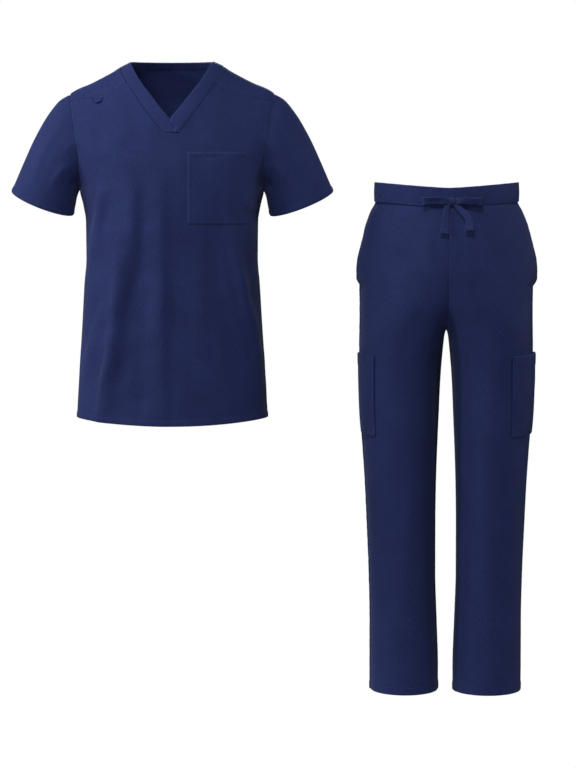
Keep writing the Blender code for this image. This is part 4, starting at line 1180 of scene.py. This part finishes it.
def sleeve_sheet():
    """The left set-in sleeve, from the armhole's own line to the cuff."""
    ring = np.linspace(0.0, 1.0, SLEEVE_COLUMNS)
    steps = lengths(around_armhole(ring)[0][None], 1)[0]
    ring = np.interp(np.linspace(0.0, steps[-1], SLEEVE_COLUMNS), steps, ring)
    hole, side = around_armhole(ring)
    middle, half = ring_line(SLEEVE[0])
    up = np.clip(dot(hole - middle, half) / dot(half, half), -1.0, 1.0)
    out = np.sqrt(1 - up * up)
    stray = hole - ring_points(np.zeros(len(ring)), up, out, side)
    along = fine_ends(SLEEVE_ALONG, coarse=0.0036)[:, None]
    full = np.broadcast_arrays(along, up[None], out[None], side[None])
    points = ring_points(*full) + stray[None] * (1 - along[..., None]) ** 2
    points[:, -1] = points[:, 0]
    sheet = Sheet(points, points - points[:, :-1].mean(axis=1, keepdims=True), wrap=True)
    share = np.linspace(0.0, 1.0, len(ring))[None]
    lift = crease_lift(SLEEVE_CREASES, *np.broadcast_arrays(share, along))
    calm = np.clip(along / 0.10, 0.0, 1.0) ** 2
    sheet.lift(lift * calm * np.minimum(1.0, 1.15 - 0.35 * along))
    finish_edges(sheet, [seam("first", "plain"), seam("last", "hem", CUFF_STITCH)], 31)
    return sheet


def sleeves():
    left = sleeve_sheet()
    sew_pair("sleeve", left, TOP_AT)
    lines = [left.line_beside("last", CUFF_STITCH)]
    return lines + mirror_lines(lines)


def front_neck_band(wearer_side, end, lap):
    """Half of the front neck band: a doubled strip from the foot of the V up to the ridge."""
    stations = end + NECK[1:]
    marks = np.linspace(0.0, len(stations) - 1, 110)[:, None]
    sewn_x, sewn_drop, free_x, free_drop = through(stations, marks)
    part = fine_ends(NECK_BAND_ACROSS)[None]
    x, drop = lerp(sewn_x, free_x, part), lerp(sewn_drop, free_drop, part)
    last = np.clip(marks - (len(stations) - 2), 0.0, 1.0)
    end_x = lerp(NECK[-1].sewn_x, NECK[-1].free_x, part)
    end_drop = lerp(NECK[-1].sewn_drop, NECK[-1].free_drop, part)
    drop = drop + last * (ridge_drop(end_x) - end_drop)
    over = lap * bell(marks, 1.1) * part
    points, normals = torso_at(wearer_side * x, drop, FRONT, BAND_RISE + over)
    points = points - point(0.0, 0.0, CORNER_FALL * last**2 * part)
    sheet = Sheet(points, normals)
    full = BAND_FULL * (np.sin(np.pi * part) ** 0.6 * (1 - last) - last**2)
    sheet.lift(full + 0.0002 * uneven(sheet.along / 0.03, 3 + wearer_side))
    turned = [seam(edge, "turned") for edge in ("end", "first")]
    finish_edges(sheet, [seam("start", "plain"), *turned], 41)
    return sheet


def back_neck_band():
    """The band that stands up round the back of the neck, between the ends of the front bands."""
    turns = np.linspace(NECK_CORNER, -NECK_CORNER, 90)
    tops = back_top_rise(turns)
    tops[0] = tops[-1] = 1.0
    foot, _ = torso_spots(turns, tops, BACK)
    around = np.arccos(np.clip(foot[:, 0] / foot[0, 0], -1.0, 1.0))
    level = np.minimum(1.0, NECK_LEVELLING * np.sin(around))
    ends = NECK_HEIGHT_ENDS - float(ridge_drop(NECK[-1].free_x))
    height = lerp(ends, NECK_HEIGHT_BACK, level)
    top = point(NECK[-1].free_x * np.cos(around), NECK_REACH_BACK * np.sin(around), height)
    part = fine_ends(NECK_BAND_UP)[:, None, None]
    points = lerp(foot[None], top[None], part)
    sheet = Sheet(points, points - point(0.0, 0.0, -0.05))
    finish_edges(sheet, [seam("first", "plain", weight=0.2), seam("last", "turned")], 47)
    return sheet


def neck_bands():
    right = front_neck_band(RIGHT, OVERLAP_END, LAP_RISE)
    left = front_neck_band(LEFT, UNDERLAP_END, 0.0)
    for word, sheet in (("right", right), ("left", left), ("back", back_neck_band())):
        sew_cloth(f"neck_band_{word}", [sheet], TOP_AT, BAND_WALL, "folded")


def pocket_hem(sheet, height, groove):
    """How the turned top of a patch pocket lifts it, with a groove along its stitches."""
    below = 1 / (1 + np.exp(-(sheet.along - height) / 0.0008))
    return HEM_LAYER * (1 - below) - groove * bell(sheet.along - height, 0.0010)


def patch_edges(sheet, seed):
    sewn = [seam(edge, "patch", PATCH_STITCH) for edge in (*SIDES, "last")]
    finish_edges(sheet, [seam("first", "patch"), *sewn], seed)


def patch_lines(sheet, hem):
    lines = [sheet.line_beside(edge, PATCH_STITCH) for edge in (*SIDES, "last")]
    return [sheet.line_beside("first", hem), *lines]


def chest_pocket():
    """A patch pocket on the wearer's left, with a deep hem and a stitched slot for a pen."""
    across = fine_ends(POCKET_SIDES[1] - POCKET_SIDES[0], coarse=0.003)[None]
    down = fine_ends(POCKET_DROPS[1] - POCKET_DROPS[0], coarse=0.003)[:, None]
    sides = [side + inner for side, inner in zip(POCKET_SIDES, POCKET_NARROWER)]
    x, drop = np.broadcast_arrays(lerp(*sides, across), lerp(*POCKET_DROPS, down))
    puff = np.sqrt(np.sin(np.pi * across) * np.sin(np.pi * np.clip(down * 0.96 + 0.02, 0, 1)))
    lift = top_relief(x, drop, FRONT) + POCKET_RISE + POCKET_PUFF * puff
    sheet = Sheet(*torso_at(x, drop, FRONT, lift))
    slot = POCKET_GROOVE * bell(sheet.across - PEN_SLOT, 0.0011)
    sheet.lift(pocket_hem(sheet, POCKET_HEM, POCKET_GROOVE) - slot)
    patch_edges(sheet, 51)
    sew_cloth("chest_pocket", [sheet], TOP_AT, held="laid")
    return patch_lines(sheet, POCKET_HEM) + [sheet.line_beside("start", PEN_SLOT)]


def hanging_loop():
    """A short tape with both ends sewn into the right shoulder seam. It stands out and down."""
    swing = np.linspace(0.0, np.pi, 40)[None]
    across = np.linspace(0.0, 1.0, 7)[:, None]
    x = lerp(*LOOP_SIDES, (1 - np.cos(swing)) / 2) + 0 * across
    drop = LOOP_DROP + LOOP_HANG * np.sin(swing) ** 0.8 + LOOP_WIDTH * across
    lift = LAY_GAP + TAPE_THICK + LOOP_BULGE * np.sin(swing) + 0.0003 * np.sin(np.pi * across)
    sheet = Sheet(*torso_at(x, drop, FRONT, lift))
    sew("hanging_loop_tape", ["hanging_loop"], [sheet], CLOTH, TOP_AT, TAPE_THICK)


# --- the trousers ---

LEG_CREASES = {
    FRONT: [
        Crease([(0.008, 0.286), (0.030, 0.302), (0.062, 0.328)], 0.0012, 0.008, 0.012),
        Crease([(0.012, 0.322), (0.036, 0.345), (0.070, 0.380)], 0.0010, 0.009, 0.016),
        Crease([(0.022, 0.430), (0.030, 0.620), (0.034, 0.880)], 0.0022, 0.010, 0.006),
        Crease([(0.150, 0.060), (0.120, 0.110), (0.100, 0.180)], 0.0016, 0.012, 0.016),
        Crease([(0.030, 0.070), (0.040, 0.130), (0.036, 0.210)], 0.0016, 0.010, 0.016),
    ],
    BACK: [
        Crease([(0.010, 0.290), (0.040, 0.318), (0.090, 0.356)], 0.0044, 0.008, 0.014),
        Crease([(0.016, 0.335), (0.050, 0.372), (0.100, 0.430)], 0.0034, 0.010, 0.016),
        Crease([(0.060, 0.580), (0.092, 0.610), (0.134, 0.604)], 0.0026, 0.010, 0.012),
        Crease([(0.056, 0.650), (0.090, 0.672), (0.126, 0.662)], 0.0022, 0.010, 0.012),
        Crease([(0.024, 0.440), (0.032, 0.640), (0.036, 0.900)], 0.0022, 0.010, 0.006),
    ],
}


def leg_relief(x, drop, side):
    sway = uneven(drop / 0.11 + 0.3 * uneven(x / 0.08, 2), 12)
    broad = 0.0007 * uneven(x / 0.055, 9 + side) * sway
    return crease_lift(LEG_CREASES[side], x, drop) + broad


def leg_sheet(side):
    """A front or back panel of the left leg, from the side seam to its inner seam."""
    under = SIDE_SEAM_LAP if side == BACK else 0.0
    turns = -side * (fine_ends(LEG_ACROSS, coarse=0.0050)[None] * (1 + under) - under)
    hip = fine_ends(HIP_DOWN, end=False)
    thigh = 1 + fine_ends(LEG_HEM - CROTCH, start=False, coarse=0.0058)[1:]
    levels = np.concatenate([hip, thigh])[:, None]
    points, normals = leg_spots(turns, levels, side)
    sheet = Sheet(points, normals)
    calm = (1 - bell(sheet.from_edge["end"], 0.010)) * (1 - bell(sheet.from_edge["start"], 0.020))
    sheet.lift(leg_relief(points[..., 0], -points[..., 2], side) * calm)
    below = np.clip((levels - 0.985) / 0.03, 0.0, 1.0)
    drop = -points[:, :1, 2]
    mouth = np.clip((MOUTH_FOOT + 0.004 - drop) / 0.008, 0.0, 1.0) if side == FRONT else 0.0 * drop
    seams = [seam("first", "plain", WAIST_STITCH, weight=0.25), seam("last", "hem", LEG_HEM_STITCH)]
    sharp = 0.3 + 0.7 * np.clip((levels - 0.45) / 0.15, 0.0, 1.0)
    seams += [seam("end", "centre", *FELLED_ROWS, weight=(1 - below) * sharp)]
    seams += [seam("end", "plain", weight=below)]
    if side == FRONT:
        seams += [seam("start", "turned", *FELLED_ROWS, weight=mouth)]
        seams += [seam("start", "plain", weight=1 - mouth)]
    else:
        seams += [seam("start", "felled", *FELLED_ROWS)]
    finish_edges(sheet, seams, 60 + side)
    crotch = float(np.argmax(levels[:, 0] >= 0.99)) / len(levels)
    foot = float(np.argmax(mouth[:, 0] < 0.5)) / len(levels) if side == FRONT else 1.0
    lines = [sheet.line_beside("last", LEG_HEM_STITCH), sheet.line_beside("first", WAIST_STITCH)]
    lines += [sheet.line_beside("start", row, (0.0, foot)) for row in FELLED_ROWS]
    if side == FRONT:
        lines += [sheet.line_beside("end", row, (0.0, crotch)) for row in FELLED_ROWS]
    return sheet, lines


def legs():
    lines = []
    for side, word in ((FRONT, "front"), (BACK, "back")):
        left, sewn = leg_sheet(side)
        sew_pair(f"leg_{word}", left, TROUSERS_AT)
        # The stitches along the front's centre seam are on the left leg alone
        keep = sewn if side == BACK else sewn[:-len(FELLED_ROWS)]
        lines += sewn + mirror_lines(keep)
    return lines


def pocket_facings():
    """The cloth seen behind each side pocket's mouth."""
    turns = np.linspace(*FACING_TURNS, 30)[None]
    levels = np.linspace(*FACING_LEVELS, 63)[:, None]
    tucked = FACING_TUCK * np.clip((0.03 - levels) / 0.03, 0.0, 1.0)
    left = Sheet(*leg_spots(turns, levels, FRONT, -(WALL + LAY_GAP) - tucked + 0 * turns))
    sew_pair("side_pocket_facing", left, TROUSERS_AT, "laid")


def waistband(side, word):
    """Half of the waistband, from side seam to side seam: a doubled channel for the drawstring."""
    angle = np.pi * fine_ends(WAIST_ROUND, coarse=0.0030)[None]
    down = fine_ends(BAND_HEIGHT, coarse=0.0020)[:, None]
    drawn = BAND_DRAWN * down**2
    width, depth = (lerp(top, foot, down) - drawn for top, foot in zip(BAND_TOP, BAND_FOOT))
    drop = band_dip(angle) + down * BAND_HEIGHT
    points = point(-width * np.cos(angle), side * depth * np.sin(angle), -drop)
    sheet = Sheet(points, points * np.array([1.0, 1.0, 0.0]))
    channel = np.sin(np.pi * down) ** 0.7
    gather = 0.5 + 0.5 * uneven(sheet.across / 0.013, 5 + side)
    sheet.lift(lerp(*BAND_CHANNEL, gather) * channel)
    seams = [seam(edge, "turned", BAND_STITCH) for edge in ("first", "last")]
    seams += [seam(edge, "plain", weight=0.3) for edge in SIDES]
    finish_edges(sheet, seams, 71)
    sew_cloth(f"waistband_{word}", [sheet], TROUSERS_AT, BAND_WALL, "folded")
    return [sheet.line_beside(edge, BAND_STITCH) for edge in ("first", "last")]


def cargo_pocket(wearer_side, word):
    """A patch pocket round the side of the thigh, slightly full, its mouth a little open."""
    angles = CARGO_ANGLES[wearer_side]
    across = fine_ends(CARGO_ACROSS, coarse=0.0032)[None]
    down = fine_ends(CARGO_DROPS[1] - CARGO_DROPS[0], coarse=0.0032)[:, None]
    angle = np.radians(lerp(angles.back, angles.front, across))
    drop = lerp(*CARGO_DROPS, down) + CARGO_SLANT * np.sin(np.abs(angle))
    full = np.sqrt(np.sin(np.pi * across))
    puff = CARGO_PUFF * np.sqrt(np.sin(np.pi * down)) + CARGO_GAPE * (1 - down) ** 4
    angle, drop = np.broadcast_arrays(angle, drop)
    soft = 0.0006 * uneven(angle / 0.35, 3 + wearer_side) * uneven(drop / 0.05, 6)
    sheet = Sheet(*leg_at(angle, drop, CARGO_LAY + WALL + full * puff + soft))
    sheet.lift(pocket_hem(sheet, CARGO_HEM, CARGO_GROOVE))
    patch_edges(sheet, 81 + wearer_side)
    if wearer_side == RIGHT:
        sheet = mirror_sheet(sheet)
    sew_cloth(f"cargo_pocket_{word}", [sheet], TROUSERS_AT, held="laid")
    return patch_lines(sheet, CARGO_HEM)


# --- the drawstring ---


def lace_sheet(turns):
    """A flat tape along its path, with a selvedge on each side and the hem of its end."""
    marks = np.linspace(0, len(turns) - 1, LACE_SAMPLES + 1)
    x, y, drop, across, forward, up, span = through(turns, marks)
    path = point(x, BAND_FACE + y, -drop)
    for _ in range(3):
        path[1:-1] = (path[:-2] + 2 * path[1:-1] + path[2:]) / 4
    run = unit(np.gradient(path, axis=0))
    wide = point(across, forward, up)
    wide = unit(wide - run * dot(wide, run)[:, None])
    for _ in range(4):
        wide[1:-1] = unit(wide[:-2] + 2 * wide[1:-1] + wide[2:])
    out = np.cross(run, wide)
    part = np.linspace(-0.5, 0.5, 13)
    cupped = TAPE_CUP * (0.5 - 2 * part**2) + 0.0003 * np.cos(part * 26)
    width = (span * TAPE_WIDTH)[:, None, None]
    points = path[:, None] + wide[:, None] * part[None, :, None] * width
    points = points + out[:, None] * cupped[None, :, None]
    flat = lengths(path[None], 1)[0]
    hem = TAPE_HEM_RISE / (1 + np.exp(-(flat - flat[-1] + TAPE_HEM) / 0.0004))
    points = points + out[:, None] * hem[:, None, None]
    sheet = Sheet(points, np.broadcast_to(out[:, None], points.shape))
    sheet.lie[..., 0] = part[None] * TAPE_WIDTH
    return sheet, path, float(flat[-1])


def sew_tape(name, nodes, sheet):
    piece = sew(name, nodes, [sheet], TAPE, TROUSERS_AT, TAPE_THICK)
    return piece


def drawstring_knot():
    """The turn of tape that wraps the crossing: a gathered band, open to the left and right."""
    turn = np.linspace(0.0, 2 * np.pi, 61)[None]
    part = np.linspace(-1.0, 1.0, 25)[:, None]
    gather = 0.00045 * np.cos(part * 9.0 + 0.8 * np.sin(turn)) + 0.0003 * np.cos(part * 17 + turn)
    swell = 1 - 0.16 * np.abs(part) ** 3
    deep, tall = KNOT_DEEP * swell + gather, KNOT_TALL * swell + gather
    x = KNOT_X + KNOT_LONG * part * (1 - 0.10 * np.cos(turn)) + 0.0012 * np.sin(turn)
    middle = point(x, BAND_FACE - KNOT_OUT, -BOW_DROP)
    around = point(0.0 * x, -deep * np.cos(turn), -tall * np.sin(turn) * 1.02)
    sheet = Sheet(middle + around, around, wrap=True)
    return sew_tape("drawstring_knot_wrap", ["drawstring_knot"], sheet)


def drawstring():
    knot = drawstring_knot()
    for wearer_side, word in ((RIGHT, "right"), (LEFT, "left")):
        sheet, path, length = lace_sheet(LACES[wearer_side])
        nodes = [f"drawstring_loop_{word}", f"drawstring_tail_{word}"]
        piece = sew_tape(f"drawstring_{word}", nodes, sheet)
        places = path + TROUSERS_AT


def on_band(x, drop):
    width, depth = BAND_TOP[0], (BAND_TOP[1] + BAND_FOOT[1]) / 2 + 0.0022
    angle = np.arccos(np.clip(-x / width, -1.0, 1.0))
    places = point(x, -depth * np.sin(angle), -drop)
    return places, unit(places * np.array([1.0, 1.0, 0.0]))


def eyelet(middle, tilt):
    """The line of a stitched buttonhole on the front of the waistband."""
    turn = np.linspace(0.0, 2 * np.pi, 60)
    along, aside = EYELET_LONG * np.cos(turn), EYELET_WIDE * np.sin(turn)
    x = middle[0] + along * math.cos(tilt) - aside * math.sin(tilt)
    drop = middle[1] + along * math.sin(tilt) + aside * math.cos(tilt)
    return on_band(x, drop)


# --- the studio ---

CAMERA_PLACE = (0.2368, -6.5, -0.283)
CAMERA_AIM = (0.2368, 0.0, -0.6580)
FRAME_HEIGHT = 1.5744
SURROUND = 0.03
MIDDLE = (0.24, 0.0, -0.6)
WHITE, COOL = (1.0, 1.0, 1.0), (0.96, 0.98, 1.0)
Lamp = namedtuple("Lamp", "place aim size power colour")
LAMPS = {
    "key": Lamp((0.05, -2.40, 2.50), MIDDLE, 0.28, 112.0, (1.0, 0.99, 0.98)),
    "front": Lamp((-0.40, -3.80, 0.30), (0.24, 0.0, -0.4), 1.0, 63.0, WHITE),
    "left_front": Lamp((-2.60, -1.30, 0.60), MIDDLE, 0.5, 66.0, COOL),
    "left": Lamp((-2.60, -0.30, 1.10), MIDDLE, 0.8, 84.0, COOL),
    "right": Lamp((3.20, -0.35, 0.60), MIDDLE, 1.1, 50.0, COOL),
    "behind": Lamp((0.30, 3.60, 1.40), MIDDLE, 1.2, 80.0, WHITE),
}
FLOOR_PLACE, FLOOR_RADIUS = (0.24, 0.0, -1.95), 1.45
FLOOR_LOW, FLOOR_HIGH = (0.80, 0.80, 0.80, 1.0), (0.86, 0.86, 0.86, 1.0)


def stand(name, data, place, aim):
    """A lamp or the camera, at its place and turned towards its aim."""
    obj = bpy.data.objects.new(name, data)
    obj.location = place
    obj.rotation_mode = "QUATERNION"
    obj.rotation_quaternion = (Vector(aim) - Vector(place)).to_track_quat("-Z", "Y")
    bpy.context.scene.collection.objects.link(obj)
    return obj


def lamp(name, place, aim, size, power, colour):
    light = bpy.data.lights.new(name, "AREA")
    light.shape = "DISK"
    light.size = size
    light.energy = power
    light.color = colour
    stand(name, light, place, aim)


def surround():
    """A faint light from all sides, which the camera sees as white."""
    world = bpy.data.worlds.new("surround")
    world.use_nodes = True
    air = world.node_tree
    air.nodes["Background"].inputs["Color"].default_value = (1.0, 1.0, 1.0, 1.0)
    rays = air.nodes.new("ShaderNodeLightPath")
    strength = air.nodes.new("ShaderNodeMapRange")
    strength.inputs["To Min"].default_value = SURROUND
    strength.inputs["To Max"].default_value = 1.0
    air.links.new(rays.outputs["Is Camera Ray"], strength.inputs["Value"])
    air.links.new(strength.outputs["Result"], air.nodes["Background"].inputs["Strength"])
    bpy.context.scene.world = world


def floor():
    bm = bmesh.new()
    bmesh.ops.create_circle(bm, cap_ends=True, segments=96, radius=FLOOR_RADIUS)
    bmesh.ops.translate(bm, vec=FLOOR_PLACE, verts=bm.verts)
    mesh = bpy.data.meshes.new("floor")
    bm.to_mesh(mesh)
    bm.free()
    pale = Finish("pale_floor", Roughness=0.9)
    place = pale.node("ShaderNodeTexCoord", {}, {}, "Object")
    grain = pale.noise(pale.stretched(place, (30.0, 30.0, 30.0)))
    pale.feed("Base Color", pale.between(grain, FLOOR_LOW, FLOOR_HIGH))
    mesh.materials.append(pale.material)
    ground = bpy.data.objects.new("floor", mesh)
    bpy.context.scene.collection.objects.link(ground)


def studio():
    scene = bpy.context.scene
    camera = stand("camera", bpy.data.cameras.new("camera"), CAMERA_PLACE, CAMERA_AIM)
    camera.data.sensor_width = 36.0
    camera.data.lens = 36.0 * (Vector(CAMERA_AIM) - Vector(CAMERA_PLACE)).length / FRAME_HEIGHT
    camera.data.clip_end = 60.0
    scene.camera = camera
    scene.view_settings.view_transform = "Standard"
    surround()
    for name, one in LAMPS.items():
        lamp(name, *one)
    floor()


# --- making it ---

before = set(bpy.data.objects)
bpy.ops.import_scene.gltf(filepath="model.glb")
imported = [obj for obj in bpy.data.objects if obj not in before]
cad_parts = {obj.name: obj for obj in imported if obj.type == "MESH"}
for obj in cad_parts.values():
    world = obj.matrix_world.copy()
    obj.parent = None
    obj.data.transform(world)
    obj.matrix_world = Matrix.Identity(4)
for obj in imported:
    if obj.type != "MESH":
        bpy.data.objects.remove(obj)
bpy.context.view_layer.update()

CLOTH = cloth_finish()
TAPE = tape_finish()
THREAD = thread_finish()

studio()
drawstring()
top_lines = top_front() + top_back() + sleeves()
neck_bands()
top_lines += chest_pocket()
hanging_loop()
pocket_facings()
trouser_lines = legs() + waistband(FRONT, "front") + waistband(BACK, "back")
trouser_lines += cargo_pocket(LEFT, "left") + cargo_pocket(RIGHT, "right")
trouser_lines += [eyelet(*place) for place in EYELETS]
stitching("top_stitching", top_lines, TOP_AT, THREAD)
stitching("trouser_stitching", trouser_lines, TROUSERS_AT, THREAD)
